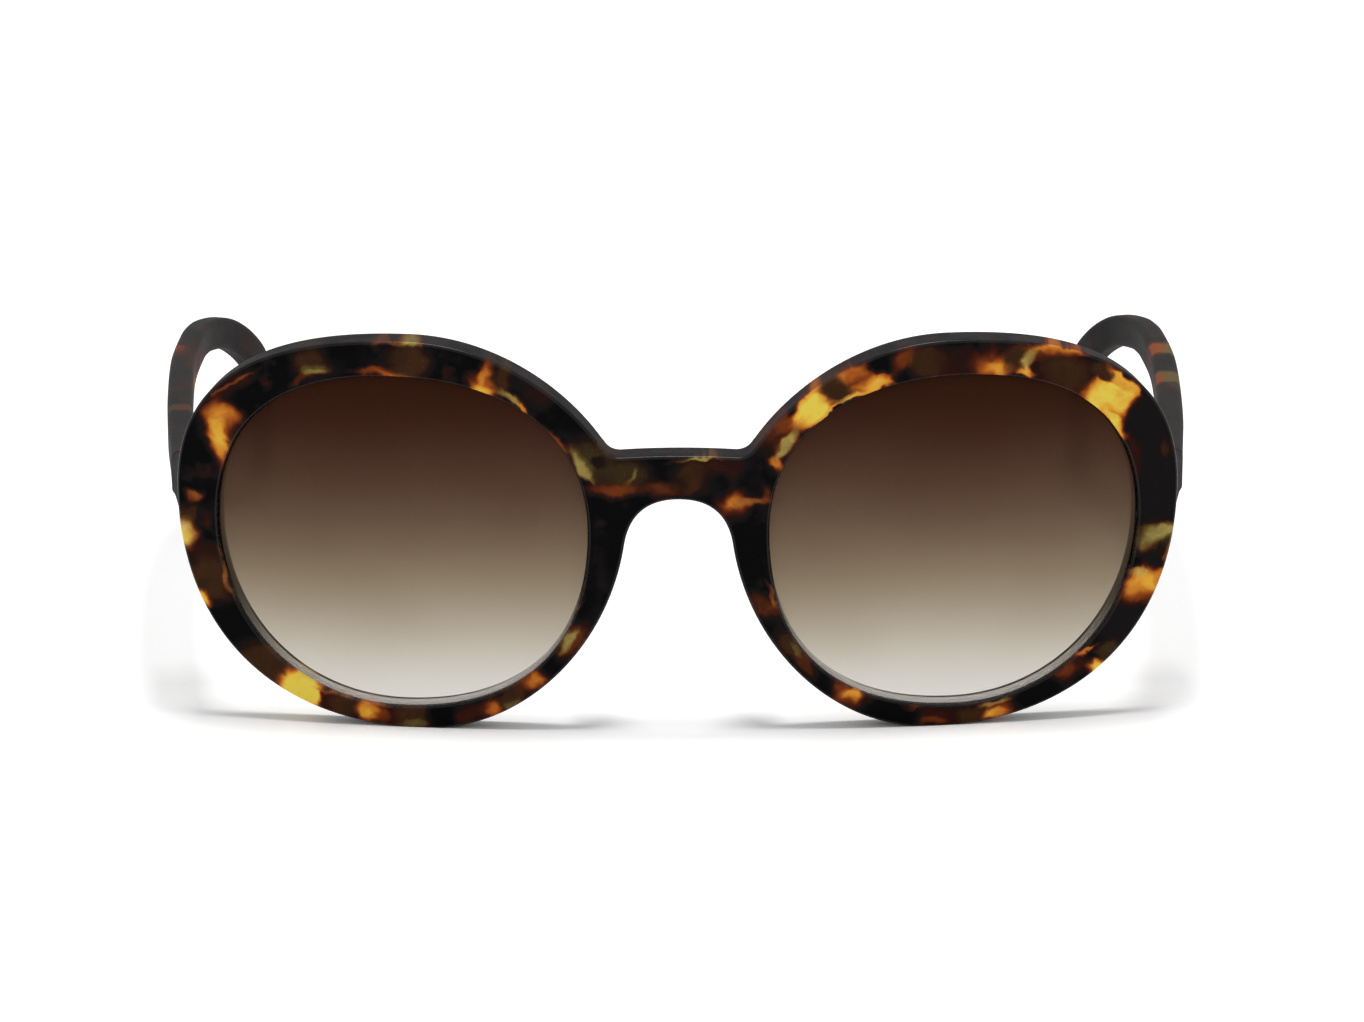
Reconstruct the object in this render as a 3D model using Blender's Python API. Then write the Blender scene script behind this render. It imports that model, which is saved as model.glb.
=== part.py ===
"""Reading sunglasses, standing open on their lower rims and temple tips.

The front is drawn flat, across (u) and up (v), with a depth (w) behind its face. It is then bent
round a wide cylinder and leaned forward. The hinges and temples are drawn for the +X side, in
offsets (outwards, backwards, upwards) from the hinge screw, and mirrored for the other side.
"""

import math

import bpy
import numpy as np
from mathutils import Matrix, Vector, geometry

MM = 0.001

# Front: its bend, its lean and its edges
FACE_BEND_RADIUS = 300 * MM
FACE_LEAN = math.radians(4.5)
FRONT_THICKNESS = 4.0 * MM
EDGE_ROUND = 0.4 * MM
FOOT_FLAT_DEPTH = 0.4 * MM

# Lens opening: its reach each way from its centre, and how full each of its four arcs is at its ends
OPENING_NASAL = 27.3 * MM
OPENING_TEMPORAL = 26.2 * MM
OPENING_TOP = 22.8 * MM
OPENING_BOTTOM = 27.2 * MM
OPENING_FULLNESS_SHARES = ((0.64, 0.64), (0.62, 0.62), (0.645, 0.645), (0.58, 0.58))

# Rim: its widths round the opening, and its arcs' centre, inwards and up from the opening's
NOSE_GAP_WIDTH = 14.6 * MM
RIM_NASAL_WIDTH = 5.4 * MM
RIM_TEMPORAL_WIDTH = 5.8 * MM
RIM_TOP_WIDTH = 5.2 * MM
RIM_BOTTOM_WIDTH = 3.3 * MM
RIM_CENTRE_INWARDS = 3.1 * MM
RIM_CENTRE_RISE = 3.8 * MM
RIM_TOP_SHIFT = 1.4 * MM
RIM_FULLNESS_SHARES = ((0.70, 0.63), (0.59, 0.335), (0.54, 0.54), (0.625, 0.625))

# Bridge and nose arch
BRIDGE_ABOVE_CENTRE = 8.0 * MM
BRIDGE_TOP_RISE = 0.3 * MM
BRIDGE_HEIGHT = 6.6 * MM
BRIDGE_CORNER_CUT = 1.6 * MM
ARCH_CORNER_CUT = 7.0 * MM

# Nose pads, moulded on the back of the front
PAD_BELOW_CENTRE = 3.3 * MM
PAD_HEIGHT = 19.0 * MM
PAD_DEPTH = 5.0 * MM
PAD_FLARE = 1.5 * MM
PAD_CREST = 0.8 * MM
PAD_ROOT = 0.6 * MM
PAD_END_SHARE = 0.38
PAD_FOOT_SHARE = 0.33
BACK_RING_SHARES = (1.3, 1.6)

# Lens: seated by a bevelled edge in a V-shaped groove
GROOVE_DEPTH = 1.0 * MM
GROOVE_MIDDLE = 1.9 * MM
BEVEL_REACH = 0.65 * MM
LENS_EDGE_THICKNESS = 1.7 * MM
LENS_FRONT_BULGE = 1.6 * MM
LENS_BACK_BULGE = 0.5 * MM

# Hinge: its screw, its leaf in the front and its slider in the temple
HINGE_FROM_RIM_EDGE = 3.35 * MM
HINGE_BEHIND_RIM = 2.6 * MM
HINGE_ABOVE_CENTRE = 0.6 * MM
SCREW_SHANK_RADIUS = 0.6 * MM
SCREW_HEAD_RADIUS = 1.05 * MM
SCREW_HEAD_HEIGHT = 0.5 * MM
SLOT_WIDTH = 0.35 * MM
SLOT_DEPTH = 0.25 * MM
HINGE_CLEARANCE = 0.1 * MM
BARREL_RADIUS = 1.3 * MM
EYE_HEIGHT = 1.3 * MM
BARREL_HEIGHT = 1.1 * MM
LEAF_PLATE_WIDTH = 3.0 * MM
LEAF_PLATE_THICKNESS = 1.0 * MM
LEAF_PLATE_SINK = 0.75 * MM
LEAF_NECK_WIDTH = 1.6 * MM
SEAT_CLEARANCE = 0.2 * MM

# Endpiece lug that carries the temple's butt face
LUG_HEIGHT = 6.5 * MM
LUG_CORNER = 1.1 * MM
LUG_ROOT_CORNER = 0.85 * MM
LUG_ROOT_DEPTH = 0.85 * MM
LUG_ROOT_SINK = 0.35 * MM
LUG_FLARE_DOWN = 1.6 * MM
LUG_FLARE_UP = 0.5 * MM
# Each row: how far from the root to the butt face, and how much of the flare is left
LUG_FLARE_SHARES = ((0.0, 1.0), (0.3, 0.68), (0.6, 0.16), (0.8, 0.0), (1.0, 0.0))

# Spring box, let into the temple's inner face
BOX_OFFSET = 2.0 * MM
BOX_WIDTH = 3.4 * MM
BOX_LENGTH = 13.0 * MM
BOX_WALL = 0.6 * MM
BOX_BORE_DEPTH = 10.7 * MM
NECK_THICKNESS = 1.2 * MM
ROD_RADIUS = 0.5 * MM
ROD_CLEARANCE = 0.1 * MM
STOP_RING_LENGTH = 1.2 * MM
END_COLLAR_LENGTH = 0.8 * MM
SPRING_LENGTH = 5.4 * MM
SPRING_WIRE_RADIUS = 0.17 * MM
SPRING_TURNS = 6
BOX_SCREW_RADIUS = 0.35 * MM
BOX_SCREW_HEAD_RADIUS = 0.7 * MM
BOX_SCREW_HEAD_HEIGHT = 0.35 * MM
BOX_SCREW_BITE = 0.7 * MM

# Temple: butt section, tip section and path
TEMPLE_BUTT_INNER = 1.4 * MM
TEMPLE_BUTT_WIDTH = 3.9 * MM
TEMPLE_BUTT_HEIGHT = 6.5 * MM
TEMPLE_TIP_WIDTH = 3.7 * MM
TEMPLE_TIP_HEIGHT = 4.8 * MM
TEMPLE_CORNER = 1.1 * MM
TEMPLE_REACH = 129.3 * MM
TEMPLE_BOW = 4.95 * MM
TEMPLE_HOOK = 8.3 * MM
TEMPLE_TIP_LEVEL = 2.0 * MM
# Each row: how far along, out, in, down, and from the butt section to the tip section
TEMPLE_PATH_SHARES = (
    (0.000, 0.000, 0.000, 0.000, 0.00),
    (0.064, 0.165, 0.000, 0.005, 0.20),
    (0.168, 0.457, 0.000, 0.011, 0.50),
    (0.315, 0.755, 0.000, 0.016, 0.68),
    (0.470, 0.975, 0.006, 0.021, 0.80),
    (0.586, 0.994, 0.040, 0.029, 0.85),
    (0.640, 1.000, 0.082, 0.043, 0.88),
    (0.686, 1.000, 0.170, 0.063, 0.90),
    (0.741, 1.000, 0.382, 0.103, 0.92),
    (0.779, 1.000, 0.582, 0.160, 0.93),
    (0.818, 1.000, 0.795, 0.252, 0.94),
    (0.857, 1.000, 0.950, 0.368, 0.96),
    (0.903, 1.000, 1.000, 0.530, 0.98),
    (0.949, 1.000, 0.976, 0.735, 1.00),
    (1.000, 1.000, 0.928, 1.000, 1.00),
)
TIP_ROUND_SHARES = ((0.45, 0.93), (0.80, 0.72), (1.0, 0.38))

# Counts of points on curves, and the angles above which an edge stays sharp
OPENING_ARC_COUNT = 18
RIM_ARC_COUNT = 22
CORNER_POINTS = 6
ROUND_SIDES = 24
TEMPLE_STEPS = 2
SPRING_TURN_POINTS = 14
SPRING_SIDES = 6
SHARP_ABOVE = math.radians(40)
WIRE_SHARP_ABOVE = math.radians(80)

# Sizes worked out from the ones above
OPENING_CENTRE_U = NOSE_GAP_WIDTH / 2 + RIM_NASAL_WIDTH + OPENING_NASAL
OPENING_CENTRE_V = RIM_BOTTOM_WIDTH + OPENING_BOTTOM
RIM_CENTRE_U = OPENING_CENTRE_U - RIM_CENTRE_INWARDS
RIM_CENTRE_V = OPENING_CENTRE_V + RIM_CENTRE_RISE
RIM_NASAL = RIM_CENTRE_U - NOSE_GAP_WIDTH / 2
RIM_TEMPORAL = RIM_CENTRE_INWARDS + OPENING_TEMPORAL + RIM_TEMPORAL_WIDTH
RIM_TOP = OPENING_TOP + RIM_TOP_WIDTH - RIM_CENTRE_RISE
RIM_BOTTOM = RIM_CENTRE_V
RIM_EDGE_U = RIM_CENTRE_U + RIM_TEMPORAL
BRIDGE_TOP_V = RIM_CENTRE_V + BRIDGE_ABOVE_CENTRE
PAD_TOP_V = RIM_CENTRE_V - PAD_BELOW_CENTRE
PAD_BOTTOM_V = PAD_TOP_V - PAD_HEIGHT
HINGE_HEIGHT_V = RIM_CENTRE_V + HINGE_ABOVE_CENTRE
BORE_RADIUS = SCREW_SHANK_RADIUS + HINGE_CLEARANCE
STACK_HEIGHT = EYE_HEIGHT + 2 * BARREL_HEIGHT + 2 * HINGE_CLEARANCE
BOX_FRONT = SEAT_CLEARANCE + NECK_THICKNESS + SEAT_CLEARANCE
BOX_HEIGHT = STACK_HEIGHT
BOX_BORE_RADIUS = BOX_WIDTH / 2 - BOX_WALL
ROD_BORE_RADIUS = ROD_RADIUS + ROD_CLEARANCE
SPRING_RADIUS = (ROD_RADIUS + BOX_BORE_RADIUS) / 2
BOX_SCREW_BACK = BOX_FRONT + (BOX_BORE_DEPTH + BOX_LENGTH) / 2
SPRING_FRONT = BOX_FRONT + HINGE_CLEARANCE + STOP_RING_LENGTH + HINGE_CLEARANCE
COLLAR_FRONT = SPRING_FRONT + SPRING_LENGTH + HINGE_CLEARANCE
ROD_BACK = COLLAR_FRONT + END_COLLAR_LENGTH + HINGE_CLEARANCE
OVERRUN = FRONT_THICKNESS
FILL_TOLERANCE = EDGE_ROUND / 400


def material(name, colour, roughness, metallic=0.0, transmission=0.0):
    made = bpy.data.materials.new(name)
    made.use_nodes = True
    shader = made.node_tree.nodes["Principled BSDF"]
    shader.inputs["Base Color"].default_value = (*colour, 1.0)
    shader.inputs["Roughness"].default_value = roughness
    shader.inputs["Metallic"].default_value = metallic
    shader.inputs["Transmission Weight"].default_value = transmission
    made.diffuse_color = (*colour, 1.0)
    return made


def mesh_object(name, points, faces, look):
    mesh = bpy.data.meshes.new(name)
    mesh.from_pydata([tuple(point) for point in points], [], faces)
    mesh.update()
    mesh.materials.append(look)
    made = bpy.data.objects.new(name, mesh)
    bpy.context.collection.objects.link(made)
    return made


def smooth(made, sharp_above=SHARP_ABOVE):
    made.data.shade_smooth()
    made.data.set_sharp_from_angle(angle=sharp_above)


def combine(target, tool, operation):
    """Cut the tool out of the target, or fuse it on, and remove the tool."""
    step = target.modifiers.new(operation.title(), "BOOLEAN")
    step.operation = operation
    step.object = tool
    depsgraph = bpy.context.evaluated_depsgraph_get()
    shaped = bpy.data.meshes.new_from_object(target.evaluated_get(depsgraph))
    target.modifiers.remove(step)
    target.data = shaped
    bpy.data.objects.remove(tool)


def strip_faces(ring_count, ring_size):
    """Quads that join ring after ring of equal size."""
    faces = []
    for ring in range(ring_count - 1):
        for i in range(ring_size):
            j = (i + 1) % ring_size
            a, b = ring * ring_size, (ring + 1) * ring_size
            faces.append((a + i, b + i, b + j, a + j))
    return faces


def rounded_rectangle(width, height, corner, points=3):
    """Points (across, up) round a rectangle's outline, anticlockwise."""
    outline = []
    for turn, (side, level) in enumerate(((1, 1), (-1, 1), (-1, -1), (1, -1))):
        for i in range(points + 1):
            angle = (turn + i / points) * math.pi / 2
            across = side * (width / 2 - corner) + corner * math.cos(angle)
            up = level * (height / 2 - corner) + corner * math.sin(angle)
            outline.append((across, up))
    return outline


def loft(name, sections, look):
    """One closed body through sections of equal point count, capped at both ends."""
    size = len(sections[0])
    points = [point for section in sections for point in section]
    faces = strip_faces(len(sections), size)
    faces.append(tuple(range(size)))
    faces.append(tuple(reversed(range(len(points) - size, len(points)))))
    return mesh_object(name, points, faces, look)


def turned(name, profile, look, sides=ROUND_SIDES):
    """A solid turned about the local Z axis from (radius, height) points, top to bottom.

    A profile that starts and ends on the axis makes a solid piece, any other makes a ring.
    """
    solid = profile[0][0] == 0
    rims = profile[1:-1] if solid else profile
    points = []
    for radius, height in rims:
        for i in range(sides):
            angle = 2 * math.pi * i / sides
            points.append((radius * math.cos(angle), radius * math.sin(angle), height))
    faces = strip_faces(len(rims), sides)
    if solid:
        top, bottom = len(points), len(points) + 1
        points += [(0, 0, profile[0][1]), (0, 0, profile[-1][1])]
        last = (len(rims) - 1) * sides
        for i in range(sides):
            j = (i + 1) % sides
            faces.append((top, i, j))
            faces.append((last + i, bottom, last + j))
    else:
        last = (len(rims) - 1) * sides
        for i in range(sides):
            j = (i + 1) % sides
            faces.append((last + i, i, j, last + j))
    return mesh_object(name, points, faces, look)


def cylinder_profile(radius, low, high):
    return [(0, high), (radius, high), (radius, low), (0, low)]


def ring_profile(inner, outer, low, high):
    return [(inner, high), (outer, high), (outer, low), (inner, low)]


def block(name, low, high, look):
    """A box between two corners."""
    x, y, z = zip(low, high)
    points = [(x[i], y[j], z[k]) for i in (0, 1) for j in (0, 1) for k in (0, 1)]
    faces = [(0, 1, 3, 2), (4, 6, 7, 5), (0, 4, 5, 1), (2, 3, 7, 6), (0, 2, 6, 4), (1, 5, 7, 3)]
    return mesh_object(name, points, faces, look)


def place(made, matrix):
    """Move the mesh itself, and keep its faces pointing out if the move mirrors it."""
    made.data.transform(matrix)
    if matrix.determinant() < 0:
        made.data.flip_normals()
    return made


def oval(centre, reach, fullness, arc_points, top_shift=0.0):
    """Points round an oval of four arcs: temporal end, top, nasal end, bottom."""
    u, v = centre
    nasal, temporal, top, bottom = reach
    ends = [
        (u + temporal, v, 0, 1),
        (u + top_shift, v + top, -1, 0),
        (u - nasal, v, 0, -1),
        (u, v - bottom, 1, 0),
    ]
    top_spans = ((top, temporal - top_shift), (nasal + top_shift, top))
    spans = (*top_spans, (bottom, nasal), (temporal, bottom))
    points = []
    for quarter in range(4):
        u0, v0, du0, dv0 = ends[quarter]
        u3, v3, du3, dv3 = ends[(quarter + 1) % 4]
        first, last = (span * share for span, share in zip(spans[quarter], fullness[quarter]))
        handles = [
            np.array((u0, v0)),
            np.array((u0 + du0 * first, v0 + dv0 * first)),
            np.array((u3 - du3 * last, v3 - dv3 * last)),
            np.array((u3, v3)),
        ]
        for i in range(arc_points):
            s = i / arc_points
            weights = ((1 - s) ** 3, 3 * (1 - s) ** 2 * s, 3 * (1 - s) * s**2, s**3)
            points.append(sum(weight * handle for weight, handle in zip(weights, handles)))
    return np.array(points)


def arc_between(start, corner, end, points):
    """A round corner: a curve from start to end that leans towards the corner."""
    shares = [(i + 1) / (points + 1) for i in range(points)]
    return [(1 - s) ** 2 * start + 2 * s * (1 - s) * corner + s**2 * end for s in shares]


def crossing(path, height):
    """The place on a path of points where it passes a height: index before it, and the point."""
    for i in range(len(path) - 1):
        low, high = path[i], path[i + 1]
        if (low[1] - height) * (high[1] - height) <= 0:
            share = (height - low[1]) / (high[1] - low[1])
            return i, low + share * (high - low)
    return 0, path[0]


def half_outline():
    """The +u half of the front's outline, from the bridge's top round the rim to the nose arch."""
    rim = oval(
        (RIM_CENTRE_U, RIM_CENTRE_V),
        (RIM_NASAL, RIM_TEMPORAL, RIM_TOP, RIM_BOTTOM),
        RIM_FULLNESS_SHARES,
        RIM_ARC_COUNT,
        RIM_TOP_SHIFT,
    )
    top_nasal = rim[RIM_ARC_COUNT : 2 * RIM_ARC_COUNT + 1]
    corner_height = BRIDGE_TOP_V - BRIDGE_TOP_RISE
    before, corner = crossing(top_nasal, corner_height)
    slope = top_nasal[before] - corner
    up_the_rim = corner + slope / np.linalg.norm(slope) * BRIDGE_CORNER_CUT
    along_the_bridge = corner - np.array((BRIDGE_CORNER_CUT, 0))
    arch_height = BRIDGE_TOP_V - BRIDGE_HEIGHT
    bottom_nasal = rim[2 * RIM_ARC_COUNT : 3 * RIM_ARC_COUNT + 1]
    after, down_the_rim = crossing(bottom_nasal, arch_height - ARCH_CORNER_CUT)
    climb = bottom_nasal[after] - bottom_nasal[after + 1]
    arch_corner = down_the_rim + climb / climb[1] * ARCH_CORNER_CUT
    along_the_arch = arch_corner - np.array((arch_corner[0], 0))
    bridge_middle = np.array((0, BRIDGE_TOP_V))
    bridge = [bridge_middle, (bridge_middle + along_the_bridge) / 2, along_the_bridge]
    bridge += arc_between(along_the_bridge, corner, up_the_rim, CORNER_POINTS)
    bridge.append(up_the_rim)
    kept = [point for point in top_nasal[: before + 1] if point[1] > up_the_rim[1] + EDGE_ROUND]
    around = list(reversed(kept))
    around += list(reversed(rim[:RIM_ARC_COUNT]))
    around += list(reversed(rim[3 * RIM_ARC_COUNT :]))
    low = [point for point in bottom_nasal[after + 1 : -1] if point[1] < down_the_rim[1] - EDGE_ROUND]
    around += list(reversed(low))
    arch = [down_the_rim]
    arch += arc_between(down_the_rim, arch_corner, along_the_arch, 2 * CORNER_POINTS)
    arch.append(along_the_arch)
    return bridge + around + arch


def front_outline():
    """The whole outline, anticlockwise as the camera side sees it."""
    right = half_outline()
    left = [np.array((-point[0], point[1])) for point in right[1:-1]]
    return np.array(list(reversed(right)) + left)


def opening_outline(side):
    points = oval(
        (OPENING_CENTRE_U, OPENING_CENTRE_V),
        (OPENING_NASAL, OPENING_TEMPORAL, OPENING_TOP, OPENING_BOTTOM),
        OPENING_FULLNESS_SHARES,
        OPENING_ARC_COUNT,
    )
    if side < 0:
        points = points[::-1] * (-1, 1)
    return points


def inwards(loop):
    """Unit vectors to the left of a loop's direction, at its points."""
    ahead = np.roll(loop, -1, axis=0) - loop
    ahead /= np.linalg.norm(ahead, axis=1)[:, None]
    tangent = ahead + np.roll(ahead, 1, axis=0)
    tangent /= np.linalg.norm(tangent, axis=1)[:, None]
    return np.stack((-tangent[:, 1], tangent[:, 0]), axis=1)


def on_front(u, v, w):
    """The place in space of a point across, up and behind the flat-drawn face."""
    turn = u / FACE_BEND_RADIUS
    x = (FACE_BEND_RADIUS - w) * math.sin(turn)
    back = FACE_BEND_RADIUS - (FACE_BEND_RADIUS - w) * math.cos(turn)
    lean_cos, lean_sin = math.cos(FACE_LEAN), math.sin(FACE_LEAN)
    return Vector((x, back * lean_cos - v * lean_sin, back * lean_sin + v * lean_cos))


def pad_shares(loop):
    """How far the nose pad stands out at each point of the outline, from 0 to 1."""
    shares = []
    for u, v in loop:
        share = 0.0
        if abs(u) < OPENING_CENTRE_U - OPENING_NASAL / 2 and PAD_BOTTOM_V < v < PAD_TOP_V:
            along = (v - PAD_BOTTOM_V) / (PAD_TOP_V - PAD_BOTTOM_V)
            ends = min(along, 1 - along) / PAD_END_SHARE
            rise = min(1.0, ends)
            share = rise * rise * (3 - 2 * rise)
        shares.append(share)
    return np.array(shares)


def outer_profile():
    """Rings (inset, depth) round the outline, plain and where the pad is full."""
    r, t = EDGE_ROUND, FRONT_THICKNESS
    crest = t + PAD_DEPTH
    third = r / 3
    back_rings = [share * r for share in BACK_RING_SHARES]
    return (
        ((r, 0), (r, 0)),
        ((third, third), (third, third)),
        ((0, r), (0, r)),
        ((0, t - r), (PAD_FLARE * PAD_FOOT_SHARE, t)),
        ((third, t - third), (PAD_FLARE, crest - r)),
        ((r, t), (PAD_FLARE + r, crest)),
        ((back_rings[0], t), (PAD_FLARE + PAD_CREST, crest - r)),
        ((back_rings[1], t), (PAD_FLARE + PAD_CREST + PAD_ROOT, t)),
    )


def opening_profile():
    r, t = EDGE_ROUND / 2, FRONT_THICKNESS
    third = r / 3
    return (
        (r, 0),
        (third, third),
        (0, r),
        (0, GROOVE_MIDDLE - GROOVE_DEPTH),
        (GROOVE_DEPTH, GROOVE_MIDDLE),
        (0, GROOVE_MIDDLE + GROOVE_DEPTH),
        (0, t - r),
        (third, t - third),
        (r, t),
    )


def front_shell(look):
    """The front with its two grooved openings and its nose pads, before the endpieces."""
    outline = front_outline()
    into = inwards(outline)
    pads = pad_shares(outline)[:, None]
    points, faces, flat = [], [], []
    boundaries = []
    rings = []
    for plain, padded in outer_profile():
        plain, padded = np.array(plain), np.array(padded)
        mixed = plain * (1 - pads) + padded * pads
        rings.append((outline + into * mixed[:, :1], mixed[:, 1]))
    boundaries.append(rings)
    for side in (1, -1):
        hole = opening_outline(side)[::-1]
        into = inwards(hole)
        rings = [(hole + into * inset, np.full(len(hole), depth)) for inset, depth in opening_profile()]
        boundaries.append(rings)
    first_rings, last_rings = [], []
    for rings in boundaries:
        start, size = len(points), len(rings[0][0])
        for place_uv, depth in rings:
            points += [on_front(u, v, w) for (u, v), w in zip(place_uv, depth)]
            flat += [Vector(uv) for uv in place_uv]
        faces += [tuple(start + i for i in face) for face in strip_faces(len(rings), size)]
        first_rings.append([start + i for i in range(size)])
        last_rings.append([start + (len(rings) - 1) * size + i for i in range(size)])
    faces += fill(flat, first_rings)
    faces += [tuple(reversed(face)) for face in fill(flat, last_rings)]
    return mesh_object("front_frame", points, faces, look)


def fill(flat, loops):
    """Triangles between an outer loop and its holes, given as indices of flat points."""
    order = [index for loop in loops for index in loop]
    edges, start = [], 0
    for loop in loops:
        size = len(loop)
        edges += [(start + i, start + (i + 1) % size) for i in range(size)]
        start += size
    made = geometry.delaunay_2d_cdt([flat[index] for index in order], edges, [], 1, FILL_TOLERANCE)
    places, triangles, origins = made[0], made[2], made[3]
    shapes = [[flat[index] for index in loop] for loop in loops]
    kept = []
    for triangle in triangles:
        middle = sum((places[i] for i in triangle), Vector((0, 0))) / 3
        if inside(middle, shapes[0]) and not any(inside(middle, hole) for hole in shapes[1:]):
            kept.append(tuple(order[origins[i][0]] for i in triangle))
    return kept


def inside(point, loop):
    """Whether a flat point lies within a loop."""
    found = False
    for a, b in zip(loop, loop[1:] + loop[:1]):
        if (a.y > point.y) != (b.y > point.y):
            if point.x < a.x + (point.y - a.y) * (b.x - a.x) / (b.y - a.y):
                found = not found
    return found


def lens(name, side, look):
    """A bevelled lens that follows the front's bend and bulges forward."""
    opening = opening_outline(side)
    out = -inwards(opening)
    half_edge = LENS_EDGE_THICKNESS / 2
    shoulder = BEVEL_REACH - half_edge
    middle = opening.mean(axis=0)
    edge = opening + out * shoulder
    front, back = GROOVE_MIDDLE - half_edge, GROOVE_MIDDLE + half_edge
    shares = (0.3, 0.6, 0.85, 1.0)
    rings = [(middle + (edge - middle) * s, front - LENS_FRONT_BULGE * (1 - s * s)) for s in shares]
    rings.append((opening + out * BEVEL_REACH, GROOVE_MIDDLE))
    rings += [
        (middle + (edge - middle) * s, back - LENS_BACK_BULGE * (1 - s * s)) for s in reversed(shares)
    ]
    points = [on_front(u, v, w) for ring, w in rings for u, v in ring]
    size = len(opening)
    faces = strip_faces(len(rings), size)
    front_pole, back_pole = len(points), len(points) + 1
    points.append(on_front(*middle, front - LENS_FRONT_BULGE))
    points.append(on_front(*middle, back - LENS_BACK_BULGE))
    last = (len(rings) - 1) * size
    for i in range(size):
        j = (i + 1) % size
        faces.append((front_pole, i, j))
        faces.append((last + i, back_pole, last + j))
    made = mesh_object(name, points, faces, look)
    smooth(made)
    return made


def hinge_point():
    """The middle of the hinge screw on the +X side."""
    rim_back = on_front(RIM_EDGE_U - HINGE_FROM_RIM_EDGE, HINGE_HEIGHT_V, FRONT_THICKNESS)
    return Vector((rim_back.x, rim_back.y + HINGE_BEHIND_RIM, rim_back.z))


def at_hinge(side):
    """The matrix from hinge offsets (out, back, up) to the hinge on one side."""
    mirror = Matrix.Diagonal((side, 1, 1, 1))
    return mirror @ Matrix.Translation(hinge_point())


def lug(side, look):
    """The endpiece block, flared where it grows out of the rim, with the temple's butt face behind."""
    hinge = hinge_point()
    inner = hinge.x + BARREL_RADIUS + 2 * SEAT_CLEARANCE
    face = on_front(RIM_EDGE_U, HINGE_HEIGHT_V, 0)
    root = np.array((face.y + LUG_ROOT_DEPTH, face.x - LUG_ROOT_SINK, LUG_ROOT_CORNER))
    butt = np.array((hinge.y, hinge.x + TEMPLE_BUTT_INNER + TEMPLE_BUTT_WIDTH, LUG_CORNER))
    sections = []
    for along, flare in LUG_FLARE_SHARES:
        depth, outer, corner = root + (butt - root) * along
        width = outer - inner
        low = hinge.z - LUG_HEIGHT / 2 - flare * LUG_FLARE_DOWN
        high = hinge.z + LUG_HEIGHT / 2 + flare * LUG_FLARE_UP
        section = rounded_rectangle(width, high - low, corner)
        sections.append([(inner + width / 2 + x, depth, (low + high) / 2 + z) for x, z in section])
    made = loft("lug", sections, look)
    return place(made, Matrix.Diagonal((side, 1, 1, 1)))


def leaf_pocket(side, look, clearance):
    """The space that the leaf's plate and necks take in the front."""
    low, high = leaf_plate_corners()
    grown = Vector((clearance, clearance, clearance))
    made = block("leaf_pocket", Vector(low) - grown, Vector(high) + grown, look)
    return place(made, at_hinge(side))


def leaf_plate_corners():
    half = STACK_HEIGHT / 2
    back = -HINGE_BEHIND_RIM + LEAF_PLATE_THICKNESS - LEAF_PLATE_SINK
    low = (-LEAF_NECK_WIDTH / 4, back - LEAF_PLATE_THICKNESS, -half)
    high = (low[0] + LEAF_PLATE_WIDTH, back, half)
    return low, high


def front_frame(look):
    made = front_shell(look)
    for side in (1, -1):
        combine(made, lug(side, look), "UNION")
        combine(made, leaf_pocket(side, look, SEAT_CLEARANCE), "DIFFERENCE")
    cut_foot(made, look)
    smooth(made)
    return made


def cut_foot(made, look):
    """Take a flat off the underside, at the height that the whole object stands on."""
    reach = 2 * FACE_BEND_RADIUS
    below = block("below", (-reach, -reach, -reach), (reach, reach, FOOT_FLAT_DEPTH), look)
    combine(made, below, "DIFFERENCE")


def hinge_leaf(name, side, look):
    low, high = leaf_plate_corners()
    made = block(name, low, high, look)
    eye_top = EYE_HEIGHT / 2 + HINGE_CLEARANCE
    for level in (1, -1):
        bottom, top = sorted((level * eye_top, level * (eye_top + BARREL_HEIGHT)))
        neck_low = (low[0], high[1] - LEAF_PLATE_THICKNESS / 2, bottom)
        neck_high = (low[0] + LEAF_NECK_WIDTH, 0, top)
        combine(made, block("neck", neck_low, neck_high, look), "UNION")
        barrel = turned("barrel", cylinder_profile(BARREL_RADIUS, bottom, top), look)
        combine(made, barrel, "UNION")
    bore = turned("bore", cylinder_profile(BORE_RADIUS, -STACK_HEIGHT, STACK_HEIGHT), look)
    combine(made, bore, "DIFFERENCE")
    smooth(made)
    return place(made, at_hinge(side))


def slotted_screw(name, shank, head, length, head_height, look):
    """A cheese-head screw along Z, its head's underside at height zero."""
    profile = [(0, head_height), (head, head_height), (head, 0), (shank, 0), (shank, -length), (0, -length)]
    made = turned(name, profile, look)
    slot_low = (-head * 2, -SLOT_WIDTH / 2, head_height - SLOT_DEPTH)
    slot_high = (head * 2, SLOT_WIDTH / 2, head_height * 2)
    combine(made, block("slot", slot_low, slot_high, look), "DIFFERENCE")
    smooth(made)
    return made


def hinge_screw(name, side, look):
    seat = STACK_HEIGHT / 2 + HINGE_CLEARANCE
    length = seat + STACK_HEIGHT / 2
    made = slotted_screw(name, SCREW_SHANK_RADIUS, SCREW_HEAD_RADIUS, length, SCREW_HEAD_HEIGHT, look)
    return place(made, at_hinge(side) @ Matrix.Translation((0, 0, seat)))


def along_rod(out=BOX_OFFSET, back=0.0):
    """Turns the local Z axis to point backwards along the rod."""
    return Matrix.Translation((out, back, 0)) @ Matrix.Rotation(-math.pi / 2, 4, "X")


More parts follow.
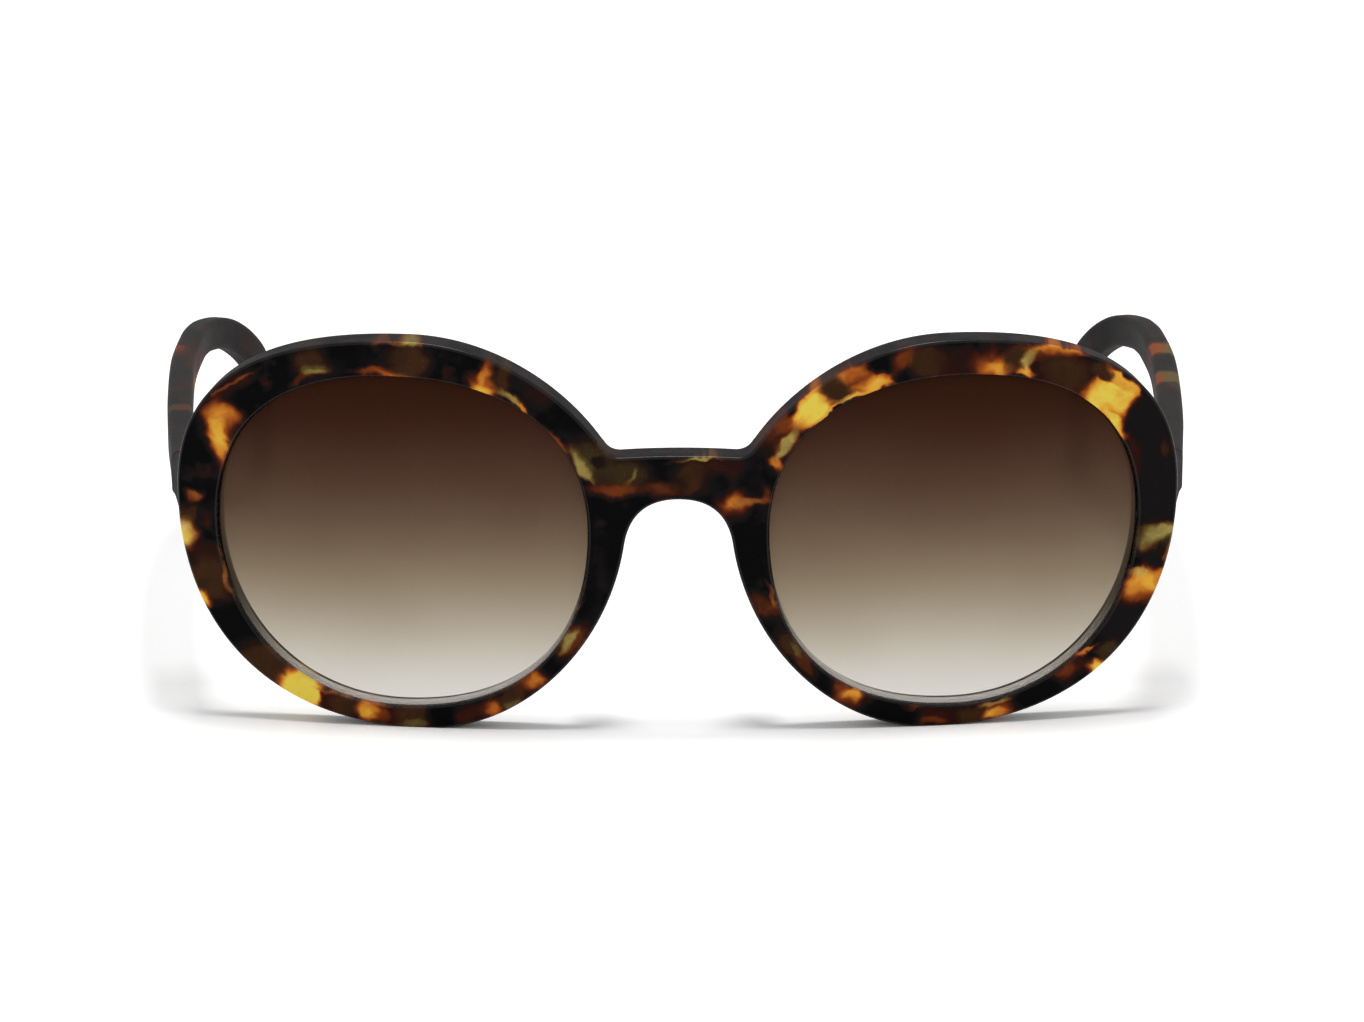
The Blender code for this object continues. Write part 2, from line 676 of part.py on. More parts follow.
def hinge_slider(name, side, look):
    """The eye between the leaf's barrels, with a neck to the rod that runs into the box."""
    half = EYE_HEIGHT / 2
    made = turned(name, cylinder_profile(BARREL_RADIUS, -half, half), look)
    neck_back = SEAT_CLEARANCE + NECK_THICKNESS
    neck_low = (SCREW_SHANK_RADIUS, SEAT_CLEARANCE, -half)
    neck_high = (BOX_OFFSET + ROD_RADIUS + ROD_CLEARANCE, neck_back, half)
    combine(made, block("neck", neck_low, neck_high, look), "UNION")
    bore = turned("bore", cylinder_profile(BORE_RADIUS, -STACK_HEIGHT, STACK_HEIGHT), look)
    combine(made, bore, "DIFFERENCE")
    rod = turned("rod", cylinder_profile(ROD_RADIUS, neck_back - NECK_THICKNESS / 2, ROD_BACK), look)
    combine(made, place(rod, along_rod()), "UNION")
    smooth(made)
    return place(made, at_hinge(side))


def rod_ring(name, side, outer, front, length, look):
    """A ring round the rod, given by its front end and its length."""
    profile = ring_profile(ROD_BORE_RADIUS, outer, front, front + length)
    made = turned(name, profile, look)
    smooth(made)
    return place(made, at_hinge(side) @ along_rod())


def spring_box(name, side, look):
    half_height = BOX_HEIGHT / 2
    low = (BOX_OFFSET - BOX_WIDTH / 2, BOX_FRONT, -half_height)
    high = (BOX_OFFSET + BOX_WIDTH / 2, BOX_FRONT + BOX_LENGTH, half_height)
    made = block(name, low, high, look)
    bore_end = BOX_FRONT + BOX_BORE_DEPTH
    bore = turned("bore", cylinder_profile(BOX_BORE_RADIUS, BOX_FRONT - OVERRUN, bore_end), look)
    combine(made, place(bore, along_rod()), "DIFFERENCE")
    hole_radius = BOX_SCREW_RADIUS + HINGE_CLEARANCE
    hole = turned("hole", cylinder_profile(hole_radius, -OVERRUN, OVERRUN), look)
    combine(made, place(hole, across_box()), "DIFFERENCE")
    smooth(made)
    return place(made, at_hinge(side))


def across_box():
    """Turns the local Z axis to point inwards, through the box and its screw."""
    return Matrix.Translation((BOX_OFFSET, BOX_SCREW_BACK, 0)) @ Matrix.Rotation(-math.pi / 2, 4, "Y")


def box_screw(name, side, look):
    seat = BOX_WIDTH / 2 + HINGE_CLEARANCE
    length = seat + BOX_WIDTH / 2 + SEAT_CLEARANCE + BOX_SCREW_BITE
    made = slotted_screw(
        name, BOX_SCREW_RADIUS, BOX_SCREW_HEAD_RADIUS, length, BOX_SCREW_HEAD_HEIGHT, look
    )
    place(made, Matrix.Translation((0, 0, seat)))
    return place(made, at_hinge(side) @ across_box())


def coil_spring(name, side, look):
    """One unbroken helix round the rod, between the stop ring and the end collar."""
    steps = SPRING_TURNS * SPRING_TURN_POINTS
    length = SPRING_LENGTH - 2 * SPRING_WIRE_RADIUS
    start = SPRING_FRONT + SPRING_WIRE_RADIUS
    rise = length / steps
    turn = 2 * math.pi / SPRING_TURN_POINTS
    lean = math.atan2(rise, SPRING_RADIUS * turn)
    sections = []
    for step in range(steps + 1):
        angle = step * turn
        radial = Vector((math.cos(angle), math.sin(angle), 0))
        tangent = Vector((-math.sin(angle), math.cos(angle), 0)) * math.cos(lean)
        tangent.z = math.sin(lean)
        upright = radial.cross(tangent)
        centre = radial * SPRING_RADIUS + Vector((0, 0, start + step * rise))
        section = []
        for i in range(SPRING_SIDES):
            around = 2 * math.pi * i / SPRING_SIDES
            offset = radial * math.cos(around) + upright * math.sin(around)
            section.append(centre + offset * SPRING_WIRE_RADIUS)
        sections.append(section)
    made = loft(name, sections, look)
    smooth(made, WIRE_SHARP_ABOVE)
    return place(made, at_hinge(side) @ along_rod())


def temple_rows():
    """Hinge offsets of the temple's middle line and its section sizes, closely stepped."""
    middle = TEMPLE_BUTT_INNER + TEMPLE_BUTT_WIDTH / 2
    drop = hinge_point().z - TEMPLE_TIP_LEVEL
    knots = []
    for along, out, hook, down, taper in TEMPLE_PATH_SHARES:
        width = TEMPLE_BUTT_WIDTH + taper * (TEMPLE_TIP_WIDTH - TEMPLE_BUTT_WIDTH)
        height = TEMPLE_BUTT_HEIGHT + taper * (TEMPLE_TIP_HEIGHT - TEMPLE_BUTT_HEIGHT)
        x = middle + out * TEMPLE_BOW - hook * TEMPLE_HOOK
        y = SEAT_CLEARANCE + along * TEMPLE_REACH
        knots.append(np.array((x, y, -down * drop, width, height)))
    knots = [2 * knots[0] - knots[1]] + knots + [2 * knots[-1] - knots[-2]]
    rows = []
    for i in range(1, len(knots) - 2):
        before, here, there, after = knots[i - 1 : i + 3]
        for step in range(TEMPLE_STEPS):
            s = step / TEMPLE_STEPS
            smooth_path = (
                2 * here
                + (there - before) * s
                + (2 * before - 5 * here + 4 * there - after) * s**2
                + (3 * here - before - 3 * there + after) * s**3
            )
            rows.append(smooth_path / 2)
    rows.append(knots[-2])
    return rows


def temple_sections():
    rows = temple_rows()
    sections = []
    for i, row in enumerate(rows):
        centre = Vector(row[:3])
        ahead = Vector(rows[min(i + 1, len(rows) - 1)][:3]) - Vector(rows[max(i - 1, 0)][:3])
        if i == 0:
            ahead = Vector((0, 1, 0))
        sections.append(temple_section(centre, ahead, row[3], row[4]))
    end, before = Vector(rows[-1][:3]), Vector(rows[-2][:3])
    ahead = (end - before).normalized()
    for along, size in TIP_ROUND_SHARES:
        centre = end + ahead * along * TEMPLE_TIP_WIDTH / 2
        sections.append(temple_section(centre, ahead, TEMPLE_TIP_WIDTH, TEMPLE_TIP_HEIGHT, size))
    return sections


def temple_section(centre, ahead, width, height, size=1.0):
    ahead = ahead.normalized()
    out = ahead.cross(Vector((0, 0, 1))).normalized()
    up = out.cross(ahead)
    outline = rounded_rectangle(width * size, height * size, TEMPLE_CORNER * size)
    return [centre + out * x + up * z for x, z in outline]


def temple(name, side, look):
    """The side arm, with a pocket in its inner face for the spring box."""
    made = loft(name, temple_sections(), look)
    gap = SEAT_CLEARANCE
    half = BOX_HEIGHT / 2 + gap
    low = (-OVERRUN, -OVERRUN, -half)
    high = (BOX_OFFSET + BOX_WIDTH / 2 + gap, BOX_FRONT + BOX_LENGTH + gap, half)
    combine(made, block("pocket", low, high, look), "DIFFERENCE")
    pilot_radius = BOX_SCREW_RADIUS + HINGE_CLEARANCE
    pilot_end = BOX_WIDTH / 2 + gap + BOX_SCREW_BITE + HINGE_CLEARANCE
    pilot = turned("pilot", cylinder_profile(pilot_radius, -pilot_end, 0), look)
    combine(made, place(pilot, across_box()), "DIFFERENCE")
    place(made, at_hinge(side))
    cut_foot(made, look)
    smooth(made)
    return made


def axis_empty(name, position):
    made = bpy.data.objects.new(name, None)
    made.empty_display_size = BOX_LENGTH
    made.location = position
    bpy.context.collection.objects.link(made)
    return made


def carry(parent, *pieces):
    """Hang pieces on a parent empty, with their meshes measured from its place."""
    bpy.context.view_layer.update()
    back = parent.matrix_world.inverted()
    for piece in pieces:
        piece.data.transform(back)
        piece.parent = parent


def stand_on_origin(tops, pieces):
    """Move the whole object so that the middle of its footprint lies over the origin."""
    bpy.context.view_layer.update()
    corners = [piece.matrix_world @ vertex.co for piece in pieces for vertex in piece.data.vertices]
    corners = np.array(corners)
    low, high = corners.min(axis=0), corners.max(axis=0)
    shift = Vector((-(low[0] + high[0]) / 2, -(low[1] + high[1]) / 2, -low[2]))
    for top in tops:
        top.location += shift
    bpy.context.view_layer.update()


def side_pieces(label, side, looks):
    """The lens, hinge and temple of one side, hung on the axes that they move on."""
    fixed = [
        lens(f"{label}_lens", side, looks["lens"]),
        hinge_leaf(f"{label}_hinge_leaf", side, looks["brass"]),
        hinge_screw(f"{label}_hinge_screw", side, looks["steel"]),
    ]
    collar_radius = BOX_BORE_RADIUS - HINGE_CLEARANCE - HINGE_CLEARANCE / 2
    ring_radius = BOX_BORE_RADIUS - HINGE_CLEARANCE
    ring_front = BOX_FRONT + HINGE_CLEARANCE
    folding = [
        hinge_slider(f"{label}_hinge_slider", side, looks["steel"]),
        rod_ring(
            f"{label}_rod_end_collar", side, collar_radius, COLLAR_FRONT, END_COLLAR_LENGTH, looks["steel"]
        ),
    ]
    sliding = [
        temple(f"{label}_temple", side, looks["frame"]),
        spring_box(f"{label}_spring_box", side, looks["brass"]),
        rod_ring(
            f"{label}_stop_ring", side, ring_radius, ring_front, STOP_RING_LENGTH, looks["steel"]
        ),
        box_screw(f"{label}_box_screw", side, looks["steel"]),
        coil_spring(f"{label}_coil_spring", side, looks["steel"]),
    ]
    hinge = at_hinge(side) @ Vector((0, 0, 0))
    fold_axis = axis_empty(f"{label}_fold_axis", hinge)
    slide_axis = axis_empty(f"{label}_slide_axis", at_hinge(side) @ Vector((BOX_OFFSET, 0, 0)))
    carry(fold_axis, *folding)
    carry(slide_axis, *sliding)
    slide_axis.parent = fold_axis
    slide_axis.location -= fold_axis.location
    return fixed, folding + sliding, [fold_axis, slide_axis]


def main():
    for made in list(bpy.data.objects):
        bpy.data.objects.remove(made)
    looks = {
        "frame": material("printed_tortoise", (0.055, 0.030, 0.016), 0.42),
        "lens": material("gradient_lens", (0.30, 0.20, 0.14), 0.05, transmission=0.9),
        "steel": material("steel", (0.62, 0.61, 0.59), 0.25, metallic=1.0),
        "brass": material("nickel_silver", (0.66, 0.61, 0.52), 0.32, metallic=1.0),
    }
    front = front_frame(looks["frame"])
    tops, pieces = [front], [front]
    axes = []
    for label, side in (("right", 1), ("left", -1)):
        fixed, moving, empties = side_pieces(label, side, looks)
        tops += fixed + empties[:1]
        pieces += fixed + moving
        axes += empties
    stand_on_origin(tops, pieces)
    for empty in axes:
        print(empty.name, [round(value / MM, 3) for value in empty.matrix_world.translation])


main()
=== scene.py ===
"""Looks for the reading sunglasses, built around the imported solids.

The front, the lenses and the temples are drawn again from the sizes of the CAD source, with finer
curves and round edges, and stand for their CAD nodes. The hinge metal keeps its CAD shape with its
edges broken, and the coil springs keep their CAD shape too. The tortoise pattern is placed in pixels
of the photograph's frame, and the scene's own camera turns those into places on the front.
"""

import math

import bpy
import numpy as np
from mathutils import Matrix, Vector, geometry


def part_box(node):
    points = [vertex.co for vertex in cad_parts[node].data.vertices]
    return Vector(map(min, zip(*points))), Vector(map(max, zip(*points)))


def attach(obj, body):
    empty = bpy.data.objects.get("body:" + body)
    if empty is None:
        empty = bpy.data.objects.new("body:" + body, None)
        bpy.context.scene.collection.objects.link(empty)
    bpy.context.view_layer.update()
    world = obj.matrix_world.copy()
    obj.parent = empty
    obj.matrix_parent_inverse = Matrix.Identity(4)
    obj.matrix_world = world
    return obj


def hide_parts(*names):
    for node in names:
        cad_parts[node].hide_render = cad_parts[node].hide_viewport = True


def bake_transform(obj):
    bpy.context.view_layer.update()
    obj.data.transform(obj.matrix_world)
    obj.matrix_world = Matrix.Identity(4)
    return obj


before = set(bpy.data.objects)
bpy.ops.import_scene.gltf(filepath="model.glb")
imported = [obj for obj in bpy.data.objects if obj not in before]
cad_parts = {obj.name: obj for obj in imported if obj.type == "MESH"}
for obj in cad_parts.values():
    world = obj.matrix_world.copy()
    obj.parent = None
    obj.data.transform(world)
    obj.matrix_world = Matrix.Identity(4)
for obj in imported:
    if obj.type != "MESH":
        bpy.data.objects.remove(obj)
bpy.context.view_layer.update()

MM = 0.001

# Photograph: the image, and a camera that sees the object as it does
IMAGE_WIDTH = 1364
IMAGE_HEIGHT = 1022
FOCAL_PIXELS = 5656
SENSOR_WIDTH = 36
TARGET = Vector((0.0005, -0.07025, 0.0329))
CAMERA_PLACE = Vector((-0.008, -0.83926, 0.25341))

# Front: bend, lean, thickness and edges
FACE_BEND_RADIUS = 300 * MM
FACE_LEAN = math.radians(4.5)
FRONT_THICKNESS = 4.0 * MM
EDGE_ROUND = 0.4 * MM
OPENING_ROUND = 0.28 * MM
FOOT_FLAT_DEPTH = 0.4 * MM

# Lens opening and rim outline
OPENING_CENTRE = (40.0 * MM, 30.5 * MM)
OPENING_REACH = (27.3 * MM, 26.2 * MM, 22.8 * MM, 27.2 * MM)
OPENING_FULLNESS = ((0.64, 0.64), (0.62, 0.62), (0.645, 0.645), (0.58, 0.58))
RIM_CENTRE = (36.9 * MM, 34.3 * MM)
RIM_REACH = (29.6 * MM, 35.1 * MM, 24.2 * MM, 34.3 * MM)
RIM_TOP_SHIFT = 1.4 * MM
RIM_FULLNESS = ((0.70, 0.63), (0.59, 0.335), (0.54, 0.54), (0.625, 0.625))
RIM_EDGE_U = RIM_CENTRE[0] + RIM_REACH[1]

# Bridge and nose arch
BRIDGE_TOP_V = 42.3 * MM
BRIDGE_TOP_RISE = 0.3 * MM
BRIDGE_HEIGHT = 6.6 * MM
BRIDGE_CORNER_CUT = 1.6 * MM
ARCH_CORNER_CUT = 7.0 * MM

# Nose pads
PAD_TOP_V = 31.0 * MM
PAD_BOTTOM_V = 12.0 * MM
PAD_DEPTH = 5.0 * MM
PAD_FLARE = 1.5 * MM
PAD_CREST = 0.8 * MM
PAD_ROOT = 0.6 * MM
PAD_END_SHARE = 0.38
PAD_FOOT_SHARE = 0.33

# Lens and its groove
GROOVE_DEPTH = 1.0 * MM
GROOVE_MIDDLE = 1.9 * MM
BEVEL_REACH = 0.65 * MM
LENS_EDGE_THICKNESS = 1.7 * MM
LENS_FRONT_BULGE = 1.6 * MM
LENS_BACK_BULGE = 0.5 * MM

# Hinge place, endpiece lug and the pocket for the hinge leaf
HINGE_FROM_RIM_EDGE = 3.35 * MM
HINGE_BEHIND_RIM = 2.6 * MM
HINGE_HEIGHT_V = 34.9 * MM
BARREL_RADIUS = 1.3 * MM
STACK_HEIGHT = 3.7 * MM
SEAT_CLEARANCE = 0.2 * MM
LEAF_PLATE_WIDTH = 3.0 * MM
LEAF_PLATE_THICKNESS = 1.0 * MM
LEAF_PLATE_SINK = 0.75 * MM
LEAF_NECK_WIDTH = 1.6 * MM
LUG_HEIGHT = 6.5 * MM
LUG_CORNER = 1.1 * MM
LUG_ROOT_CORNER = 0.85 * MM
LUG_ROOT_DEPTH = 0.85 * MM
LUG_ROOT_SINK = 0.35 * MM
LUG_FLARE_DOWN = 1.6 * MM
LUG_FLARE_UP = 0.5 * MM
LUG_FLARE_SHARES = ((0.0, 1.0), (0.3, 0.68), (0.6, 0.16), (0.8, 0.0), (1.0, 0.0))

# Spring box pocket in the temple
BOX_OFFSET = 2.0 * MM
BOX_WIDTH = 3.4 * MM
BOX_LENGTH = 13.0 * MM
BOX_FRONT = 1.6 * MM
BOX_SCREW_RADIUS = 0.35 * MM
BOX_SCREW_BITE = 0.7 * MM
BOX_SCREW_BACK = 13.45 * MM
HINGE_CLEARANCE = 0.1 * MM

# Temple: butt section, tip section and path
TEMPLE_BUTT_INNER = 1.4 * MM
TEMPLE_BUTT_WIDTH = 3.9 * MM
TEMPLE_BUTT_HEIGHT = 6.5 * MM
TEMPLE_TIP_WIDTH = 3.7 * MM
TEMPLE_TIP_HEIGHT = 4.8 * MM
TEMPLE_CORNER = 1.1 * MM
TEMPLE_REACH = 129.3 * MM
TEMPLE_BOW = 4.95 * MM
TEMPLE_HOOK = 8.3 * MM
TEMPLE_TIP_LEVEL = 2.0 * MM
TEMPLE_PATH_SHARES = (
    (0.000, 0.000, 0.000, 0.000, 0.00),
    (0.064, 0.165, 0.000, 0.005, 0.20),
    (0.168, 0.457, 0.000, 0.011, 0.50),
    (0.315, 0.755, 0.000, 0.016, 0.68),
    (0.470, 0.975, 0.006, 0.021, 0.80),
    (0.586, 0.994, 0.040, 0.029, 0.85),
    (0.640, 1.000, 0.082, 0.043, 0.88),
    (0.686, 1.000, 0.170, 0.063, 0.90),
    (0.741, 1.000, 0.382, 0.103, 0.92),
    (0.779, 1.000, 0.582, 0.160, 0.93),
    (0.818, 1.000, 0.795, 0.252, 0.94),
    (0.857, 1.000, 0.950, 0.368, 0.96),
    (0.903, 1.000, 1.000, 0.530, 0.98),
    (0.949, 1.000, 0.976, 0.735, 1.00),
    (1.000, 1.000, 0.928, 1.000, 1.00),
)
TIP_ROUND_STEPS = 7
TIP_ROUND_LENGTH = 1.9 * MM
# The last of the tip's rings stops a little short of a closed end
TIP_ROUND_TURN = 0.97
TIP_ROUND_INSET = 0.96
BROKEN_EDGE = 0.12 * MM

# Fineness
ARC_POINTS = 44
BRIDGE_TOP_STEPS = 8
BRIDGE_CORNER_POINTS = 9
CORNER_STEPS = 6
ROUND_STEPS = 5
PAD_STEPS = 12
LUG_STEPS = 8
LENS_RINGS = 14
PILOT_SIDES = 24
TEMPLE_STEPS = 8
FILL_SPACING = 1.15 * MM
FILL_CLEAR = 0.55 * FILL_SPACING
JOIN_WITHIN = EDGE_ROUND / 4000
SHARP_ABOVE = math.radians(38)
OVERRUN = FRONT_THICKNESS

# The front's material slots; the third is the inner edge behind the lens, painted near white as a
# painted reflection of the white surroundings
FACE, WALL, PAINTED_REFLECTION, EDGE = 0, 1, 2, 3


# Shapes


def new_object(name, data):
    made = bpy.data.objects.new(name, data)
    bpy.context.scene.collection.objects.link(made)
    return made


def mesh_object(name, points, faces, looks=(), marks=None):
    mesh = bpy.data.meshes.new(name)
    mesh.from_pydata([tuple(point) for point in points], [], faces)
    for look in looks:
        mesh.materials.append(look)
    if marks is not None:
        mesh.polygons.foreach_set("material_index", marks)
    mesh.update()
    return new_object(name, mesh)


def applied(made):
    """Turn what the modifiers make into the object's own mesh."""
    depsgraph = bpy.context.evaluated_depsgraph_get()
    shaped = bpy.data.meshes.new_from_object(made.evaluated_get(depsgraph))
    made.modifiers.clear()
    made.data = shaped


def combine(target, tool, operation):
    step = target.modifiers.new(operation.title(), "BOOLEAN")
    step.operation = operation
    step.object = tool
    applied(target)
    bpy.data.objects.remove(tool)


def smooth(made):
    """Smooth shading that keeps flat faces flat and real corners sharp."""
    made.data.shade_smooth()
    made.data.set_sharp_from_angle(angle=SHARP_ABOVE)
    weighted = made.modifiers.new("Weighted", "WEIGHTED_NORMAL")
    weighted.keep_sharp = True
    weighted.weight = 80
    applied(made)


def strip_faces(ring_count, ring_size):
    faces = []
    for ring in range(ring_count - 1):
        for i in range(ring_size):
            j = (i + 1) % ring_size
            a, b = ring * ring_size, (ring + 1) * ring_size
            faces.append((a + i, b + i, b + j, a + j))
    return faces


def rounded_rectangle(width, height, corner):
    outline = []
    for turn, (side, level) in enumerate(((1, 1), (-1, 1), (-1, -1), (1, -1))):
        for i in range(CORNER_STEPS + 1):
            angle = (turn + i / CORNER_STEPS) * math.pi / 2
            across = side * (width / 2 - corner) + corner * math.cos(angle)
            up = level * (height / 2 - corner) + corner * math.sin(angle)
            outline.append((across, up))
    return outline


def loft(name, sections, looks, mark=0):
    size = len(sections[0])
    points = [point for section in sections for point in section]
    faces = strip_faces(len(sections), size)
    faces.append(tuple(range(size)))
    faces.append(tuple(reversed(range(len(points) - size, len(points)))))
    return mesh_object(name, points, faces, looks, [mark] * len(faces))


def block(low, high, looks, mark=0):
    x, y, z = zip(low, high)
    points = [(x[i], y[j], z[k]) for i in (0, 1) for j in (0, 1) for k in (0, 1)]
    faces = [(0, 1, 3, 2), (4, 6, 7, 5), (0, 4, 5, 1), (2, 3, 7, 6), (0, 2, 6, 4), (1, 5, 7, 3)]
    return mesh_object("block", points, faces, looks, [mark] * len(faces))


def place(made, matrix):
    made.data.transform(matrix)
    if matrix.determinant() < 0:
        made.data.flip_normals()
    return made


def oval(centre, reach, fullness, top_shift=0.0):
    """Points round an oval of four arcs: temporal end, top, nasal end, bottom."""
    u, v = centre
    nasal, temporal, top, bottom = reach
    ends = (
        (u + temporal, v, 0, 1),
        (u + top_shift, v + top, -1, 0),
        (u - nasal, v, 0, -1),
        (u, v - bottom, 1, 0),
    )
    top_spans = ((top, temporal - top_shift), (nasal + top_shift, top))
    spans = (*top_spans, (bottom, nasal), (temporal, bottom))
    points = []
    for quarter in range(4):
        u0, v0, du0, dv0 = ends[quarter]
        u3, v3, du3, dv3 = ends[(quarter + 1) % 4]
        first, last = (span * share for span, share in zip(spans[quarter], fullness[quarter]))
        handles = [
            np.array((u0, v0)),
            np.array((u0 + du0 * first, v0 + dv0 * first)),
            np.array((u3 - du3 * last, v3 - dv3 * last)),
            np.array((u3, v3)),
        ]
        for i in range(ARC_POINTS):
            s = i / ARC_POINTS
            weights = ((1 - s) ** 3, 3 * (1 - s) ** 2 * s, 3 * (1 - s) * s**2, s**3)
            points.append(sum(weight * handle for weight, handle in zip(weights, handles)))
    return np.array(points)


def smooth_path(knots, steps):
    """Close steps along the smooth curve through the knots, from the first to the last."""
    knots = [2 * knots[0] - knots[1]] + knots + [2 * knots[-1] - knots[-2]]
    path = []
    for i in range(1, len(knots) - 2):
        before, here, there, after = knots[i - 1 : i + 3]
        for step in range(steps):
            s = step / steps
            path.append(
                here
                + (there - before) * s / 2
                + (2 * before - 5 * here + 4 * there - after) * s**2 / 2
                + (3 * here - before - 3 * there + after) * s**3 / 2
            )
    path.append(knots[-2])
    return path


def arc_between(start, corner, end, points):
    shares = [(i + 1) / (points + 1) for i in range(points)]
    return [(1 - s) ** 2 * start + 2 * s * (1 - s) * corner + s**2 * end for s in shares]


def crossing(path, height):
    """Where a path crosses a height: the index of the point before, and the place."""
    for i in range(len(path) - 1):
        low, high = path[i], path[i + 1]
        if (low[1] - height) * (high[1] - height) <= 0:
            share = (height - low[1]) / (high[1] - low[1])
            return i, low + share * (high - low)
    return 0, path[0]


def half_outline():
    """The +u half of the front's outline, from the bridge's top round the rim to the nose arch."""
    rim = oval(RIM_CENTRE, RIM_REACH, RIM_FULLNESS, RIM_TOP_SHIFT)
    n = ARC_POINTS
    top_nasal = rim[n : 2 * n + 1]
    before, corner = crossing(top_nasal, BRIDGE_TOP_V - BRIDGE_TOP_RISE)
    slope = top_nasal[before] - corner
    up_the_rim = corner + slope / np.linalg.norm(slope) * BRIDGE_CORNER_CUT
    along_the_bridge = corner - np.array((BRIDGE_CORNER_CUT, 0))
    arch_height = BRIDGE_TOP_V - BRIDGE_HEIGHT
    bottom_nasal = rim[2 * n : 3 * n + 1]
    after, down_the_rim = crossing(bottom_nasal, arch_height - ARCH_CORNER_CUT)
    climb = bottom_nasal[after] - bottom_nasal[after + 1]
    arch_corner = down_the_rim + climb / climb[1] * ARCH_CORNER_CUT
    along_the_arch = arch_corner - np.array((arch_corner[0], 0))
    middle = np.array((0, BRIDGE_TOP_V))
    bridge = []
    for i in range(BRIDGE_TOP_STEPS + 1):
        s = i / BRIDGE_TOP_STEPS
        rise = BRIDGE_TOP_RISE * (1 - s * s)
        bridge.append(np.array((along_the_bridge[0] * s, BRIDGE_TOP_V - BRIDGE_TOP_RISE + rise)))
    bridge[0] = middle
    bridge += arc_between(along_the_bridge, corner, up_the_rim, BRIDGE_CORNER_POINTS)
    bridge.append(up_the_rim)
    kept = [p for p in top_nasal[: before + 1] if p[1] > up_the_rim[1] + EDGE_ROUND / 2]
    around = list(reversed(kept)) + list(reversed(rim[:n])) + list(reversed(rim[3 * n :]))
    low = [p for p in bottom_nasal[after + 1 : -1] if p[1] < down_the_rim[1] - EDGE_ROUND / 2]
    around += list(reversed(low))
    arch = [down_the_rim]
    arch += arc_between(down_the_rim, arch_corner, along_the_arch, 3 * BRIDGE_CORNER_POINTS)
    arch.append(along_the_arch)
    return bridge + around + arch


def front_outline():
    right = half_outline()
    left = [np.array((-p[0], p[1])) for p in right[1:-1]]
    return np.array(list(reversed(right)) + left)


def opening_outline(side):
    points = oval(OPENING_CENTRE, OPENING_REACH, OPENING_FULLNESS)
    return points if side > 0 else points[::-1] * (-1, 1)


def inwards(loop):
    """The direction into an anticlockwise loop at each of its points."""
    ahead = np.roll(loop, -1, axis=0) - loop
    ahead /= np.linalg.norm(ahead, axis=1)[:, None]
    tangent = ahead + np.roll(ahead, 1, axis=0)
    tangent /= np.linalg.norm(tangent, axis=1)[:, None]
    return np.stack((-tangent[:, 1], tangent[:, 0]), axis=1)


def on_front_unshifted(u, v, w):
    turn = u / FACE_BEND_RADIUS
    x = (FACE_BEND_RADIUS - w) * math.sin(turn)
    back = FACE_BEND_RADIUS - (FACE_BEND_RADIUS - w) * math.cos(turn)
    lean_cos, lean_sin = math.cos(FACE_LEAN), math.sin(FACE_LEAN)
    return Vector((x, back * lean_cos - v * lean_sin, back * lean_sin + v * lean_cos))


def hinge_unshifted():
    rim_back = on_front_unshifted(RIM_EDGE_U - HINGE_FROM_RIM_EDGE, HINGE_HEIGHT_V, FRONT_THICKNESS)
    return Vector((rim_back.x, rim_back.y + HINGE_BEHIND_RIM, rim_back.z))


def cad_shift():
    """How far the CAD moved everything, to stand over the origin: its hinge screw shows it."""
    low, high = (Vector(corner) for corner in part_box("right_hinge_screw"))
    drawn = hinge_unshifted()
    return Vector((0, (low.y + high.y) / 2 - drawn.y, -FOOT_FLAT_DEPTH))


SHIFT = cad_shift()


def on_front(u, v, w):
    return on_front_unshifted(u, v, w) + SHIFT


def depth_behind_face(point):
    """The u, v and w of a point in space."""
    x, y, z = point - SHIFT
    lean_cos, lean_sin = math.cos(FACE_LEAN), math.sin(FACE_LEAN)
    back, v = y * lean_cos + z * lean_sin, z * lean_cos - y * lean_sin
    reach = math.hypot(x, FACE_BEND_RADIUS - back)
    return FACE_BEND_RADIUS * math.atan2(x, FACE_BEND_RADIUS - back), v, FACE_BEND_RADIUS - reach


def hinge_point():
    return hinge_unshifted() + SHIFT


def at_hinge(side):
    return Matrix.Diagonal((side, 1, 1, 1)) @ Matrix.Translation(hinge_point())


def eased(share):
    return share * share * (3 - 2 * share)


def pad_shares(loop):
    """How full the nose pad is at each point of the outline, from 0 to 1."""
    shares = []
    for u, v in loop:
        share = 0.0
        if abs(u) < OPENING_CENTRE[0] - OPENING_REACH[0] / 2 and PAD_BOTTOM_V < v < PAD_TOP_V:
            along = (v - PAD_BOTTOM_V) / (PAD_TOP_V - PAD_BOTTOM_V)
            share = eased(min(1.0, min(along, 1 - along) / PAD_END_SHARE))
        shares.append(share)
    return np.array(shares)


def quarter_round(radius, depth, backwards=False):
    """(inset, depth) points round a convex edge, from the face to the wall, or from wall to back."""
    points = []
    for i in range(ROUND_STEPS + 1):
        angle = i / ROUND_STEPS * math.pi / 2
        if backwards:
            points.append((radius * (1 - math.cos(angle)), depth - radius + radius * math.sin(angle)))
        else:
            points.append((radius * (1 - math.sin(angle)), depth + radius * (1 - math.cos(angle))))
    return points


def resampled(path, count):
    """Points evenly spread along a smooth curve through the path's own points."""
    fine = np.array(smooth_path(path, PAD_STEPS))
    lengths = np.concatenate(([0], np.cumsum(np.linalg.norm(np.diff(fine, axis=0), axis=1))))
    wanted = np.linspace(0, lengths[-1], count)
    return [np.array([np.interp(t, lengths, fine[:, k]) for k in range(2)]) for t in wanted]


